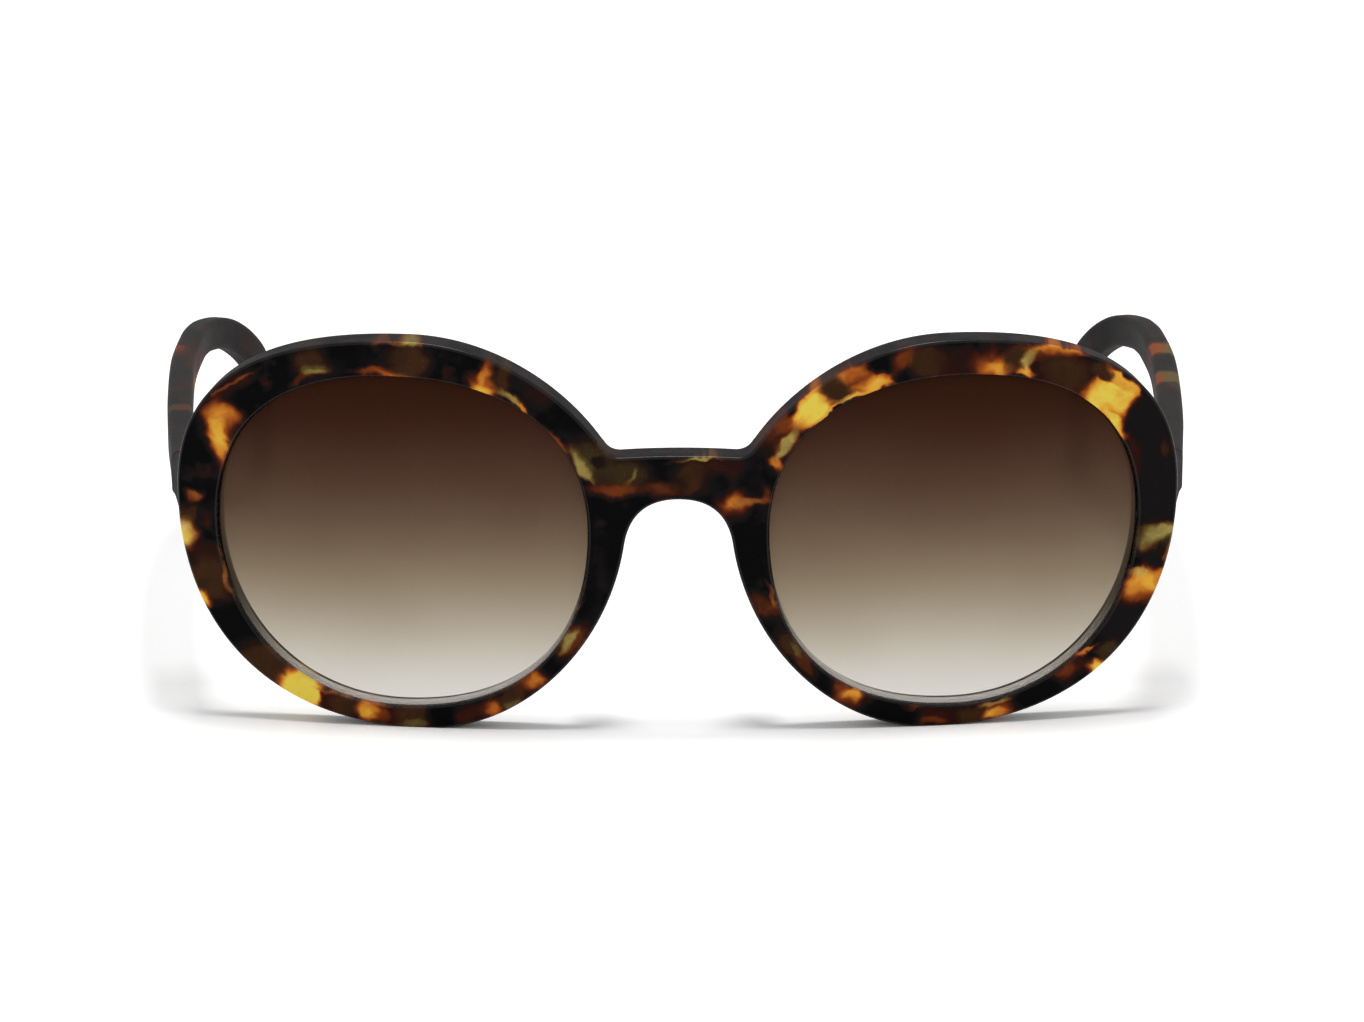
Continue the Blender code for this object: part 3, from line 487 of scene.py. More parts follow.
def outer_profile():
    """Pairs of (inset, depth) round the outline, plain and where the pad is full, front to back."""
    r, t = EDGE_ROUND, FRONT_THICKNESS
    crest = t + PAD_DEPTH
    shared = quarter_round(r, 0.0)
    plain = [(0.0, t * share) for share in (0.3, 0.5, 0.65, 0.78)]
    plain += quarter_round(r, t, backwards=True)
    plain += [(r * share, t) for share in (1.25, 1.5, 1.75, 2.0, 2.25)]
    way = [
        (0.0, t * 0.25),
        (PAD_FLARE * PAD_FOOT_SHARE / 2, t * 0.7),
        (PAD_FLARE * PAD_FOOT_SHARE, t),
        (PAD_FLARE * 0.9, crest - 3 * r),
        (PAD_FLARE + r, crest - r / 2),
        (PAD_FLARE + PAD_CREST, crest - r),
        (PAD_FLARE + PAD_CREST + PAD_ROOT / 2, t + PAD_DEPTH / 2),
        (PAD_FLARE + PAD_CREST + PAD_ROOT, t),
    ]
    padded = resampled([np.array(step) for step in way], len(plain))
    return [(step, step) for step in shared] + list(zip(plain, padded))


def opening_profile():
    t = FRONT_THICKNESS
    rings = quarter_round(OPENING_ROUND, 0.0)
    rings += [
        (0, GROOVE_MIDDLE - GROOVE_DEPTH),
        (GROOVE_DEPTH, GROOVE_MIDDLE),
        (0, GROOVE_MIDDLE + GROOVE_DEPTH),
    ]
    rings += quarter_round(OPENING_ROUND, t, backwards=True)
    return rings


def inside_many(places, loop):
    """Which of many flat places lie within a loop."""
    loop = np.asarray(loop)
    after = np.roll(loop, -1, axis=0)
    found = np.zeros(len(places), bool)
    for (ax, ay), (bx, by) in zip(loop, after):
        if ay == by:
            continue
        crosses = (ay > places[:, 1]) != (by > places[:, 1])
        where = ax + (places[:, 1] - ay) * (bx - ax) / (by - ay)
        found ^= crosses & (places[:, 0] < where)
    return found


def grid_within(loops):
    """Evenly spread places inside the first loop, outside the others and clear of them all."""
    shape = np.asarray(loops[0])
    low, high = shape.min(axis=0), shape.max(axis=0)
    rise = FILL_SPACING * math.sqrt(3) / 2
    rows = np.arange(low[1], high[1], rise)
    places = []
    for k, v in enumerate(rows):
        start = low[0] + (k % 2) * FILL_SPACING / 2
        places += [(u, v) for u in np.arange(start, high[0], FILL_SPACING)]
    places = np.array(places)
    keep = inside_many(places, loops[0])
    for hole in loops[1:]:
        keep &= ~inside_many(places, hole)
    places = places[keep]
    edge = np.concatenate([np.asarray(loop) for loop in loops])
    nearest = np.array([np.min(np.hypot(*(edge - p).T)) for p in places])
    return places[nearest > FILL_CLEAR]


def fill(loops, depth, points, first_index):
    """Triangles between an outer loop and its holes, with evenly spread points between them."""
    shapes = [np.asarray(shape) for shape, _ in loops]
    indices = [index for _, ring in loops for index in ring]
    flat = [Vector(p) for shape in shapes for p in shape]
    edges, start = [], 0
    for shape in shapes:
        size = len(shape)
        edges += [(start + i, start + (i + 1) % size) for i in range(size)]
        start += size
    spread = grid_within(shapes)
    for k, (u, v) in enumerate(spread):
        flat.append(Vector((u, v)))
        indices.append(first_index + k)
        points.append(on_front(u, v, depth))
    made = geometry.delaunay_2d_cdt(flat, edges, [], 1, JOIN_WITHIN)
    places, triangles, origins = made[0], made[2], made[3]
    middles = np.array([sum((places[i] for i in t), Vector((0, 0))) / 3 for t in triangles])
    keep = inside_many(middles, shapes[0])
    for hole in shapes[1:]:
        keep &= ~inside_many(middles, hole)
    kept = [t for t, good in zip(triangles, keep) if good]
    return [tuple(indices[origins[i][0]] for i in t) for t in kept]


def strip_mark(ring, outer):
    """The material of a strip of the front's edge: glossy, matte or, behind the lens, near white as a
    painted reflection of the white surroundings.
    """
    if outer:
        return EDGE if ring < ROUND_STEPS - 1 else WALL
    groove = ROUND_STEPS + 1
    if ring < groove:
        return EDGE
    return PAINTED_REFLECTION if ring < groove + 2 else WALL


def front_shell(looks):
    outline = front_outline()
    into = inwards(outline)
    pads = pad_shares(outline)[:, None]
    points, faces, marks = [], [], []
    boundaries = []
    rings = []
    for plain, padded in outer_profile():
        mixed = np.array(plain) * (1 - pads) + np.array(padded) * pads
        rings.append((outline + into * mixed[:, :1], mixed[:, 1]))
    boundaries.append(rings)
    for side in (1, -1):
        hole = opening_outline(side)[::-1]
        into = inwards(hole)
        boundaries.append(
            [(hole + into * inset, np.full(len(hole), depth)) for inset, depth in opening_profile()]
        )
    first_loops, last_loops = [], []
    for rings in boundaries:
        start, size = len(points), len(rings[0][0])
        for place_uv, depth in rings:
            points += [on_front(u, v, w) for (u, v), w in zip(place_uv, depth)]
        strips = strip_faces(len(rings), size)
        faces += [tuple(start + i for i in face) for face in strips]
        outer = rings is boundaries[0]
        for k in range(len(strips)):
            marks.append(strip_mark(k // size, outer))
        first_loops.append((rings[0][0], [start + i for i in range(size)]))
        last = start + (len(rings) - 1) * size
        last_loops.append((rings[-1][0], [last + i for i in range(size)]))
    front = fill(first_loops, 0.0, points, len(points))
    back = fill(last_loops, FRONT_THICKNESS, points, len(points))
    faces += front + [tuple(reversed(face)) for face in back]
    marks += [FACE] * (len(front) + len(back))
    return mesh_object("front_frame_shown", points, faces, looks, marks)


def lug(side, looks):
    """The endpiece block, flared where it grows out of the rim."""
    hinge = hinge_point()
    inner = hinge.x + BARREL_RADIUS + 2 * SEAT_CLEARANCE
    face = on_front(RIM_EDGE_U, HINGE_HEIGHT_V, 0)
    start, end = face.y + LUG_ROOT_DEPTH, hinge.y
    butt_outer = hinge.x + TEMPLE_BUTT_INNER + TEMPLE_BUTT_WIDTH
    root_outer = face.x - LUG_ROOT_SINK
    sections = []
    for k in range(LUG_STEPS + 1):
        s = k / LUG_STEPS
        outer = root_outer + (butt_outer - root_outer) * s
        corner = LUG_ROOT_CORNER + (LUG_CORNER - LUG_ROOT_CORNER) * s
        flare = np.interp(s, *zip(*LUG_FLARE_SHARES))
        low, high = -LUG_HEIGHT / 2 - flare * LUG_FLARE_DOWN, LUG_HEIGHT / 2 + flare * LUG_FLARE_UP
        width, height = outer - inner, high - low
        section = rounded_rectangle(width, height, corner)
        depth = start + (end - start) * s
        middle = hinge.z + (low + high) / 2
        sections.append([(inner + width / 2 + x, depth, middle + z) for x, z in section])
    last = []
    for x, y, z in sections[-1]:
        cx, cz = (inner + butt_outer) / 2, hinge.z
        length = math.hypot(x - cx, z - cz)
        inset = BROKEN_EDGE / length
        last.append((x - (x - cx) * inset, y, z - (z - cz) * inset))
    sections[-1] = [(x, y - BROKEN_EDGE, z) for x, y, z in sections[-1]]
    sections.append(last)
    return place(loft("lug", sections, looks, WALL), Matrix.Diagonal((side, 1, 1, 1)))


def leaf_pocket(side, looks):
    half = STACK_HEIGHT / 2
    back = -HINGE_BEHIND_RIM + LEAF_PLATE_THICKNESS - LEAF_PLATE_SINK
    low = Vector((-LEAF_NECK_WIDTH / 4, back - LEAF_PLATE_THICKNESS, -half))
    high = Vector((low.x + LEAF_PLATE_WIDTH, back, half))
    grown = Vector((SEAT_CLEARANCE,) * 3)
    return place(block(low - grown, high + grown, looks, WALL), at_hinge(side))


def cut_foot(made, looks):
    """Cut off what is below the floor, which leaves the small flats that the object stands on."""
    reach = 2 * FACE_BEND_RADIUS
    combine(made, block((-reach, -reach, -reach), (reach, reach, 0), looks, WALL), "DIFFERENCE")


def build_front(looks):
    made = front_shell(looks)
    for side in (1, -1):
        combine(made, lug(side, looks), "UNION")
        combine(made, leaf_pocket(side, looks), "DIFFERENCE")
    cut_foot(made, looks)
    smooth(made)
    return made


def build_lens(name, side, looks):
    opening = opening_outline(side)
    out = -inwards(opening)
    half_edge = LENS_EDGE_THICKNESS / 2
    shoulder = BEVEL_REACH - half_edge
    middle = opening.mean(axis=0)
    edge = opening + out * shoulder
    front, back = GROOVE_MIDDLE - half_edge, GROOVE_MIDDLE + half_edge
    shares = [(i + 1) / LENS_RINGS for i in range(LENS_RINGS)]
    rings = [(middle + (edge - middle) * s, front - LENS_FRONT_BULGE * (1 - s * s)) for s in shares]
    rings.append((opening + out * BEVEL_REACH, GROOVE_MIDDLE))
    rings += [
        (middle + (edge - middle) * s, back - LENS_BACK_BULGE * (1 - s * s)) for s in reversed(shares)
    ]
    points = [on_front(u, v, w) for ring, w in rings for u, v in ring]
    size = len(opening)
    faces = strip_faces(len(rings), size)
    front_pole, back_pole = len(points), len(points) + 1
    points.append(on_front(*middle, front - LENS_FRONT_BULGE))
    points.append(on_front(*middle, back - LENS_BACK_BULGE))
    last = (len(rings) - 1) * size
    for i in range(size):
        j = (i + 1) % size
        faces.append((front_pole, i, j))
        faces.append((last + i, back_pole, last + j))
    bevel = range((len(shares) - 1) * size, (len(shares) + 1) * size)
    marks = [int(k in bevel) for k in range(len(faces))]
    made = mesh_object(name, points, faces, looks, marks)
    smooth(made)
    return made


def temple_rows():
    """Hinge offsets of the temple's middle line, with its width and height, closely stepped."""
    middle = TEMPLE_BUTT_INNER + TEMPLE_BUTT_WIDTH / 2
    drop = hinge_unshifted().z - TEMPLE_TIP_LEVEL
    knots = []
    for along, out, hook, down, taper in TEMPLE_PATH_SHARES:
        width = TEMPLE_BUTT_WIDTH + taper * (TEMPLE_TIP_WIDTH - TEMPLE_BUTT_WIDTH)
        height = TEMPLE_BUTT_HEIGHT + taper * (TEMPLE_TIP_HEIGHT - TEMPLE_BUTT_HEIGHT)
        x = middle + out * TEMPLE_BOW - hook * TEMPLE_HOOK
        y = SEAT_CLEARANCE + along * TEMPLE_REACH
        knots.append(np.array((x, y, -down * drop, width, height)))
    return smooth_path(knots, TEMPLE_STEPS)


def temple_section(centre, ahead, width, height, inset=0.0):
    ahead = ahead.normalized()
    out = ahead.cross(Vector((0, 0, 1))).normalized()
    up = out.cross(ahead)
    corner = max(TEMPLE_CORNER - inset, BROKEN_EDGE)
    outline = rounded_rectangle(width - 2 * inset, height - 2 * inset, corner)
    return [centre + out * x + up * z for x, z in outline]


def temple_sections():
    rows = temple_rows()
    sections = []
    for i, row in enumerate(rows):
        centre = Vector(row[:3])
        ahead = Vector(rows[min(i + 1, len(rows) - 1)][:3]) - Vector(rows[max(i - 1, 0)][:3])
        if i == 0:
            ahead = Vector((0, 1, 0))
            sections.append(temple_section(centre, ahead, row[3], row[4], BROKEN_EDGE))
            centre = centre + ahead * BROKEN_EDGE
        sections.append(temple_section(centre, ahead, row[3], row[4]))
    end, before = Vector(rows[-1][:3]), Vector(rows[-2][:3])
    ahead = (end - before).normalized()
    for k in range(1, TIP_ROUND_STEPS + 1):
        angle = k / TIP_ROUND_STEPS * math.pi / 2 * TIP_ROUND_TURN
        centre = end + ahead * TIP_ROUND_LENGTH * math.sin(angle)
        inset = TEMPLE_TIP_WIDTH / 2 * (1 - math.cos(angle)) * TIP_ROUND_INSET
        sections.append(temple_section(centre, ahead, TEMPLE_TIP_WIDTH, TEMPLE_TIP_HEIGHT, inset))
    return sections


def build_temple(name, side, looks):
    made = loft(name, temple_sections(), looks)
    half = STACK_HEIGHT / 2 + SEAT_CLEARANCE
    low = (-OVERRUN, -OVERRUN, -half)
    out = BOX_OFFSET + BOX_WIDTH / 2 + SEAT_CLEARANCE
    high = (out, BOX_FRONT + BOX_LENGTH + SEAT_CLEARANCE, half)
    combine(made, block(low, high, looks), "DIFFERENCE")
    radius = BOX_SCREW_RADIUS + HINGE_CLEARANCE
    angles = [2 * math.pi * k / PILOT_SIDES for k in range(PILOT_SIDES)]
    ring = [(math.cos(angle) * radius, math.sin(angle) * radius) for angle in angles]
    deep = out + BOX_SCREW_BITE + HINGE_CLEARANCE
    pilot = [[(x, BOX_SCREW_BACK + a, b) for a, b in ring] for x in (deep, 0.0)]
    combine(made, loft("pilot", pilot, looks), "DIFFERENCE")
    place(made, at_hinge(side))
    cut_foot(made, looks)
    smooth(made)
    return made


# Materials

PLASTIC_IOR = 1.5
MATTE_GLOSS = 0.08
WALL_PATTERN = 0.42
FINE_GRAIN = 6.0


def linear(*levels):
    """A colour written as screen levels out of 255."""
    shares = [level / 255 for level in levels]
    return tuple(s / 12.92 if s <= 0.04045 else ((s + 0.055) / 1.055) ** 2.4 for s in shares) + (1.0,)


def add(tree, kind, inputs=(), **settings):
    """A shader node, with its settings and what goes into its sockets: links or plain values."""
    made = tree.nodes.new("ShaderNode" + kind)
    for key, value in settings.items():
        setattr(made, key, value)
    for key, value in dict(inputs).items():
        socket = made.inputs[key]
        if isinstance(value, bpy.types.NodeSocket):
            tree.links.new(value, socket)
        else:
            socket.default_value = value
    return made


def new_material(name):
    made = bpy.data.materials.new(name)
    made.use_nodes = True
    tree = made.node_tree
    tree.nodes.clear()
    return made, tree


def new_surface(name):
    """A new material, its nodes and the place in object space that its patterns hang on."""
    made, tree = new_material(name)
    return made, tree, add(tree, "TexCoord").outputs["Object"]


def finish_material(tree, shader):
    add(tree, "OutputMaterial", {"Surface": shader.outputs[0]})


def principled(tree, inputs):
    finish_material(tree, add(tree, "BsdfPrincipled", inputs))


def maths(tree, operation, *values, clamp=False):
    return add(tree, "Math", dict(enumerate(values)), operation=operation, use_clamp=clamp).outputs[0]


def blend_colour(tree, share, first, second):
    return add(tree, "Mix", {0: share, 6: first, 7: second}, data_type="RGBA").outputs[2]


def noise(tree, vector, per_mm, detail=2.0, roughness=0.5, output="Fac"):
    """Noise with about per_mm features to a millimetre."""
    inputs = {"Vector": vector, "Scale": per_mm / MM, "Detail": detail, "Roughness": roughness}
    return add(tree, "TexNoise", inputs).outputs[output]


def levels(tree, value, low, high, to_low=0.0, to_high=1.0):
    """A value eased from one span to another."""
    inputs = {0: value, 1: low, 2: high, 3: to_low, 4: to_high}
    return add(tree, "MapRange", inputs, interpolation_type="SMOOTHSTEP").outputs[0]


def bump(tree, height, strength, distance):
    return add(tree, "Bump", {"Strength": strength, "Distance": distance, "Height": height}).outputs[0]


# Tortoise: each name is how warm the place is, from black to yellow, and how green
SHADES = {
    "black": (0.0, 0.0),
    "night": (0.10, 0.0),
    "wine": (0.26, 0.0),
    "bark": (0.33, 0.6),
    "umber": (0.40, 0.15),
    "olive": (0.36, 1.0),
    "moss": (0.52, 1.0),
    "straw": (0.76, 1.0),
    "cream": (0.92, 0.9),
    "rust": (0.50, 0.0),
    "tan": (0.62, 0.35),
    "orange": (0.72, 0.0),
    "amber": (0.84, 0.0),
    "yellow": (1.0, 0.0),
}

# Colours along the warm and the green scales, from dark to bright
WARM = (
    (0.0, linear(4, 3, 4)),
    (0.10, linear(22, 19, 20)),
    (0.22, linear(42, 18, 13)),
    (0.36, linear(78, 32, 17)),
    (0.50, linear(126, 58, 22)),
    (0.62, linear(180, 92, 31)),
    (0.74, linear(226, 142, 48)),
    (0.86, linear(250, 186, 66)),
    (1.0, linear(255, 226, 88)),
)
GREEN = (
    (0.0, linear(4, 3, 4)),
    (0.2, linear(27, 22, 14)),
    (0.36, linear(60, 48, 26)),
    (0.52, linear(100, 84, 42)),
    (0.66, linear(140, 122, 64)),
    (0.8, linear(182, 160, 90)),
    (1.0, linear(222, 198, 128)),
)

# How soft the blotches are at 0, and how much softer at 1
SOFT_LEAST = 0.30
SOFT_MORE = 0.55

# Noise that moves the patterns about, as (size in mm, features per mm)
FRONT_WARP = ((1.2, 0.16), (0.8, 0.42), (0.25, 1.3))
TEMPLE_WARP = ((1.4, 0.10), (0.5, 0.5))
BAND_WARP = ((1.2, 0.25),)

# Each blotch: pixel across and down, half width and half height (in pixels) before it is tilted,
# tilt in degrees (anticlockwise as seen), softness from 0 to 1, shade and strength
BLOTCHES = (
    # Left rim, top
    (232, 384, 24, 9, 38, 0.6, "wine", 0.9),
    # A thin tan line along the face's top edge: a painted highlight of the edge, with gold dust in it
    (229, 385, 26, 2.0, 37, 0.7, "tan", 0.7),
    (221, 436, 13, 34, -4, 0.6, "umber", 1.0),
    (223, 417, 19, 13, -8, 0.6, "rust", 1.0),
    (219, 433, 9, 28, -4, 0.8, "orange", 1.0),
    (228, 415, 12, 8, -12, 0.8, "orange", 1.0),
    (221, 430, 7, 19, -6, 1.0, "amber", 1.0),
    (235, 446, 6, 19, -22, 0.8, "olive", 0.9),
    (311, 361, 16, 15, 10, 0.7, "bark", 1.0),
    (317, 371, 13, 5, 12, 0.9, "moss", 0.9),
    (318, 373, 10, 2.4, 12, 0.8, "straw", 0.7),
    (300, 380, 10, 2.6, 22, 0.9, "umber", 0.9),
    (381, 371, 28, 4.2, 3, 0.8, "rust", 1.0),
    (397, 374, 16, 3.2, -2, 0.8, "orange", 0.9),
    (409, 360, 21, 17, -5, 0.6, "bark", 1.0),
    (397, 344, 27, 2.4, 0, 0.8, "tan", 0.7),
    (405, 335, 18, 4.0, 0, 0.7, "tan", 0.9),
    (412, 345, 10, 3.4, -4, 0.7, "straw", 0.9),
    (487, 372, 8, 17, -12, 0.8, "umber", 1.0),
    (482, 386, 18, 9, -24, 0.8, "rust", 1.0),
    (485, 379, 6, 14, -12, 0.9, "orange", 0.9),
    (481, 389, 12, 4, -22, 0.9, "amber", 1.0),
    (504, 380, 9, 19, -10, 0.8, "bark", 1.0),
    (511, 399, 17, 4.2, -30, 0.8, "straw", 0.95),
    (522, 407, 7, 2.6, -35, 0.8, "orange", 0.9),
    (536, 393, 16, 12, -35, 0.9, "wine", 0.7),
    (557, 441, 16, 3.4, -50, 0.9, "rust", 1.0),
    (593, 457, 22, 17, -50, 0.8, "olive", 1.0),
    (583, 466, 23, 7.5, -57, 0.8, "moss", 1.0),
    (583, 468, 17, 4.2, -57, 0.9, "straw", 1.0),
    (602, 461, 8, 7, 0, 0.6, "black", 0.8),
    # Left rim, side
    (192, 497, 9, 6, 0, 0.6, "rust", 1.0),
    (193, 496, 5, 3.5, 0, 0.9, "tan", 0.8),
    (187, 513, 12, 9, 0, 0.6, "bark", 0.95),
    (186, 533, 14, 17, 5, 0.6, "tan", 1.0),
    (184, 533, 9, 12, 0, 0.9, "cream", 0.9),
    (185, 535, 6, 7, 0, 1.0, "yellow", 0.8),
    (205, 552, 15, 10, 10, 0.6, "wine", 0.9),
    (211, 579, 20, 24, 15, 0.6, "bark", 1.0),
    (225, 572, 2.6, 24, 16, 0.7, "tan", 0.8),
    (203, 599, 7, 9.5, 35, 0.5, "orange", 1.0),
    (202, 598, 4, 6, 35, 0.8, "yellow", 0.9),
    (234, 624, 25, 22, 0, 0.35, "black", 1.0),
    (264, 664, 29, 20, -42, 0.5, "bark", 1.0),
    (302, 688, 27, 21, -40, 0.4, "rust", 1.0),
    (302, 688, 23, 18, -40, 0.35, "yellow", 1.0),
    (327, 702, 10, 11, -20, 0.4, "wine", 1.0),
    (346, 706, 16, 13, -12, 0.6, "bark", 1.0),
    # A thin tan line along the lens opening's lower edge: a painted highlight of the rounded edge
    (356, 697, 36, 3.0, -13, 0.7, "tan", 0.95),
    (370, 712, 12, 11, -5, 0.7, "orange", 1.0),
    (367, 713, 6, 5, 0, 0.8, "amber", 0.9),
    (384, 715, 7, 9, 0, 0.6, "rust", 0.9),
    # Left rim, bottom to nasal
    (413, 717, 18, 13, 2, 0.5, "bark", 1.0),
    (413, 723, 14, 4.2, 0, 0.8, "moss", 1.0),
    (443, 717, 16, 12, 6, 0.4, "black", 1.0),
    (469, 713, 15, 11, 10, 0.5, "wine", 1.0),
    (492, 706, 12, 11, 15, 0.8, "rust", 1.0),
    (491, 706, 6, 6, 15, 0.9, "orange", 0.8),
    (511, 698, 13, 11, 22, 0.6, "bark", 1.0),
    (513, 703, 8, 4, 25, 0.9, "moss", 0.9),
    (534, 682, 17, 11, 40, 0.7, "rust", 1.0),
    (537, 682, 10, 6, 42, 0.9, "orange", 1.0),
    (553, 662, 19, 12, 48, 0.4, "black", 0.95),
    (573, 640, 22, 15, 52, 0.7, "umber", 1.0),
    (568, 640, 15, 6, 55, 0.8, "moss", 1.0),
    (568, 641, 12, 4, 55, 0.9, "straw", 1.0),
    # A thin amber line along the lens opening's edge: a painted highlight of the rounded edge
    (567, 623, 22, 2.2, 62, 0.7, "amber", 0.9),
    # Bridge and nose
    (624, 474, 27, 15, 0, 0.9, "olive", 0.95),
    (631, 478, 2.4, 9, -22, 0.9, "straw", 0.6),
    (616, 490, 28, 7, 2, 0.9, "umber", 1.0),
    (613, 489, 18, 3.6, 2, 1.0, "rust", 0.9),
    (661, 490, 17, 8, 0, 1.0, "umber", 1.0),
    (661, 471, 11, 10, 0, 0.7, "black", 0.8),
    (691, 474, 19, 16, 0, 0.8, "bark", 0.9),
    # Thin moss and straw lines along the bridge's top edge: painted highlights, with gold flecks in
    # them
    (698, 459, 26, 2.4, 0, 0.8, "moss", 0.95),
    (700, 460, 14, 1.6, 0, 0.8, "straw", 0.9),
    (718, 468, 15, 8, 0, 0.9, "wine", 0.9),
    (737, 469, 12, 14, -10, 0.9, "wine", 0.9),
    (751, 481, 14, 15, 0, 0.6, "black", 0.8),
    (735, 507, 17, 13, 35, 0.8, "rust", 1.0),
    (736, 503, 9, 6, 30, 0.9, "orange", 0.9),
    (754, 502, 20, 4.2, 4, 0.9, "tan", 0.9),
    (767, 494, 5, 9, 0, 0.7, "rust", 0.8),
    (622, 545, 16, 36, -8, 0.4, "black", 1.0),
    (745, 550, 20, 36, 8, 0.4, "black", 1.0),
    # Right rim, top left
    (769, 434, 20, 13, 50, 0.9, "umber", 0.9),
    (788, 420, 13, 11, 45, 0.8, "rust", 0.95),
    (796, 405, 13, 7, 42, 0.5, "black", 0.85),
    (815, 407, 28, 14, 47, 0.35, "orange", 1.0),
    (814, 410, 23, 11, 47, 0.4, "yellow", 1.0),
    (817, 388, 8, 6, 30, 0.7, "orange", 0.9),
    (787, 446, 25, 8, 57, 0.8, "umber", 1.0),
    (788, 445, 21, 4.6, 58, 0.8, "straw", 1.0),
    (778, 463, 6, 6, 60, 0.9, "orange", 0.9),
    (865, 378, 36, 14, 17, 0.6, "rust", 1.0),
    (834, 387, 15, 13, 10, 0.7, "bark", 1.0),
    (846, 398, 13, 3.4, 20, 0.8, "straw", 0.9),
    (854, 372, 16, 8, 20, 0.8, "orange", 1.0),
    (874, 383, 20, 6, 18, 0.8, "orange", 1.0),
    (878, 384, 13, 3.6, 18, 0.9, "amber", 1.0),
    (826, 413, 18, 2.0, 40, 0.7, "amber", 1.0),
    (862, 393, 22, 2.0, 22, 0.7, "amber", 0.9),
    (881, 364, 18, 8, 14, 0.6, "black", 1.0),
    (906, 358, 12, 10, 8, 0.8, "rust", 1.0),
    (905, 374, 13, 6, 8, 0.6, "black", 0.9),
    (930, 361, 18, 15, 3, 0.7, "bark", 0.95),
    (959, 361, 19, 14, 0, 0.5, "wine", 0.8),
    # Right rim, top
    (993, 364, 21, 15, 0, 0.7, "rust", 1.0),
    (998, 367, 13, 8, 0, 0.9, "amber", 1.0),
    (1016, 357, 10, 14, -20, 0.6, "bark", 1.0),
    (1048, 352, 26, 9, -8, 0.6, "rust", 1.0),
    (1027, 361, 5.5, 16, -32, 0.7, "straw", 0.95),
    (1025, 373, 10, 4, -10, 0.7, "amber", 1.0),
    (1061, 351, 26, 6, -12, 0.5, "orange", 1.0),
    (1050, 349, 12, 3.5, -8, 0.8, "amber", 0.9),
    (1062, 375, 31, 22, -25, 0.4, "wine", 1.0),
    (1064, 374, 22, 15, -25, 0.7, "bark", 1.0),
    (1112, 399, 28, 22, -10, 0.3, "orange", 1.0),
    (1110, 397, 24, 18, -15, 0.35, "yellow", 1.0),
    (1123, 380, 22, 7, -38, 0.5, "amber", 1.0),
    (1116, 424, 19, 8, -58, 0.5, "orange", 1.0),
    (1114, 420, 14, 5, -58, 0.6, "yellow", 1.0),
    (1100, 372, 14, 8, -24, 0.45, "bark", 1.0),
    # Right rim, side
    (1148, 418, 18, 24, 0, 0.3, "night", 1.0),
    (1153, 462, 22, 42, 4, 0.25, "night", 1.0),
    (1132, 458, 7, 18, 12, 0.6, "wine", 0.9),
    (1166, 448, 6, 9, 0, 0.7, "bark", 0.8),
    (1156, 502, 22, 23, 0, 0.3, "night", 1.0),
    (1156, 540, 25, 17, 5, 0.6, "olive", 1.0),
    (1161, 532, 20, 7, 6, 0.8, "straw", 0.95),
    (1146, 542, 7, 11, -5, 0.9, "straw", 0.7),
    (1154, 559, 14, 14, 10, 0.7, "night", 1.0),
    (1171, 548, 4, 12, -12, 0.6, "tan", 0.8),
    (1144, 587, 25, 18, 15, 0.6, "rust", 1.0),
    (1142, 584, 18, 12, 10, 0.8, "orange", 1.0),
    (1142, 583, 13, 9, 10, 0.9, "amber", 1.0),
    (1137, 573, 10, 3.4, 0, 0.9, "cream", 0.7),
    (1160, 575, 6, 9, 0, 0.6, "orange", 0.9),
    (1124, 625, 24, 22, 40, 0.3, "night", 1.0),
    (1109, 652, 14, 10, 40, 0.5, "olive", 0.9),
    (1094, 669, 11, 9, 40, 0.4, "orange", 1.0),
    (1095, 668, 7, 6, 40, 0.7, "yellow", 1.0),
    (1072, 670, 16, 11, 35, 0.5, "wine", 1.0),
    (1066, 673, 9, 7, 35, 0.7, "rust", 0.8),
    (1087, 652, 13, 2.2, 38, 0.7, "amber", 0.8),
    (1035, 694, 30, 12, 22, 0.4, "black", 0.95),
    # Right rim, bottom
    (995, 712, 19, 11, 12, 0.7, "rust", 1.0),
    (994, 715, 12, 5, 12, 0.9, "amber", 1.0),
    (991, 703, 20, 2.6, 14, 0.8, "straw", 0.8),
    (967, 716, 14, 12, 2, 0.7, "bark", 1.0),
    (947, 717, 8, 11, 0, 0.7, "wine", 0.8),
    (930, 716, 16, 12, 0, 0.8, "wine", 0.9),
    (931, 720, 12, 4.2, 0, 0.9, "rust", 1.0),
    (908, 705, 12, 2.2, 0, 0.8, "tan", 0.7),
    (888, 712, 26, 12, -8, 0.4, "black", 0.95),
    (846, 692, 20, 11, -28, 0.7, "rust", 1.0),
    (852, 693, 10, 5, -10, 0.9, "amber", 1.0),
    (822, 684, 14, 11, -35, 0.4, "black", 0.95),
    (802, 662, 17, 9, -52, 0.8, "umber", 1.0),
    (788, 643, 16, 11, -55, 0.7, "bark", 1.0),
    (795, 650, 9, 3.4, -55, 0.9, "moss", 0.9),
    (768, 629, 12, 12, -50, 0.6, "black", 0.9),
    (763, 607, 18, 12, -30, 0.8, "umber", 1.0),
    (772, 595, 3, 15, 20, 0.7, "tan", 0.8),
)


def camera_axes():
    forward = (TARGET - CAMERA_PLACE).normalized()
    right = forward.cross(Vector((0, 0, 1))).normalized()
    return forward, right, right.cross(forward)


def flat_place(across, down):
    """The x and z of where the ray of a pixel meets the front's face."""
    forward, right, up = camera_axes()
    ray = forward * FOCAL_PIXELS
    ray += right * (across - IMAGE_WIDTH / 2) + up * (IMAGE_HEIGHT / 2 - down)
    ray.normalize()
    far = (TARGET - CAMERA_PLACE).length
    step = 1 * MM
    for _ in range(6):
        here = depth_behind_face(CAMERA_PLACE + ray * far)[2]
        there = depth_behind_face(CAMERA_PLACE + ray * (far + step))[2]
        far -= here * step / (there - here)
    point = CAMERA_PLACE + ray * far
    return np.array((point.x, point.z))


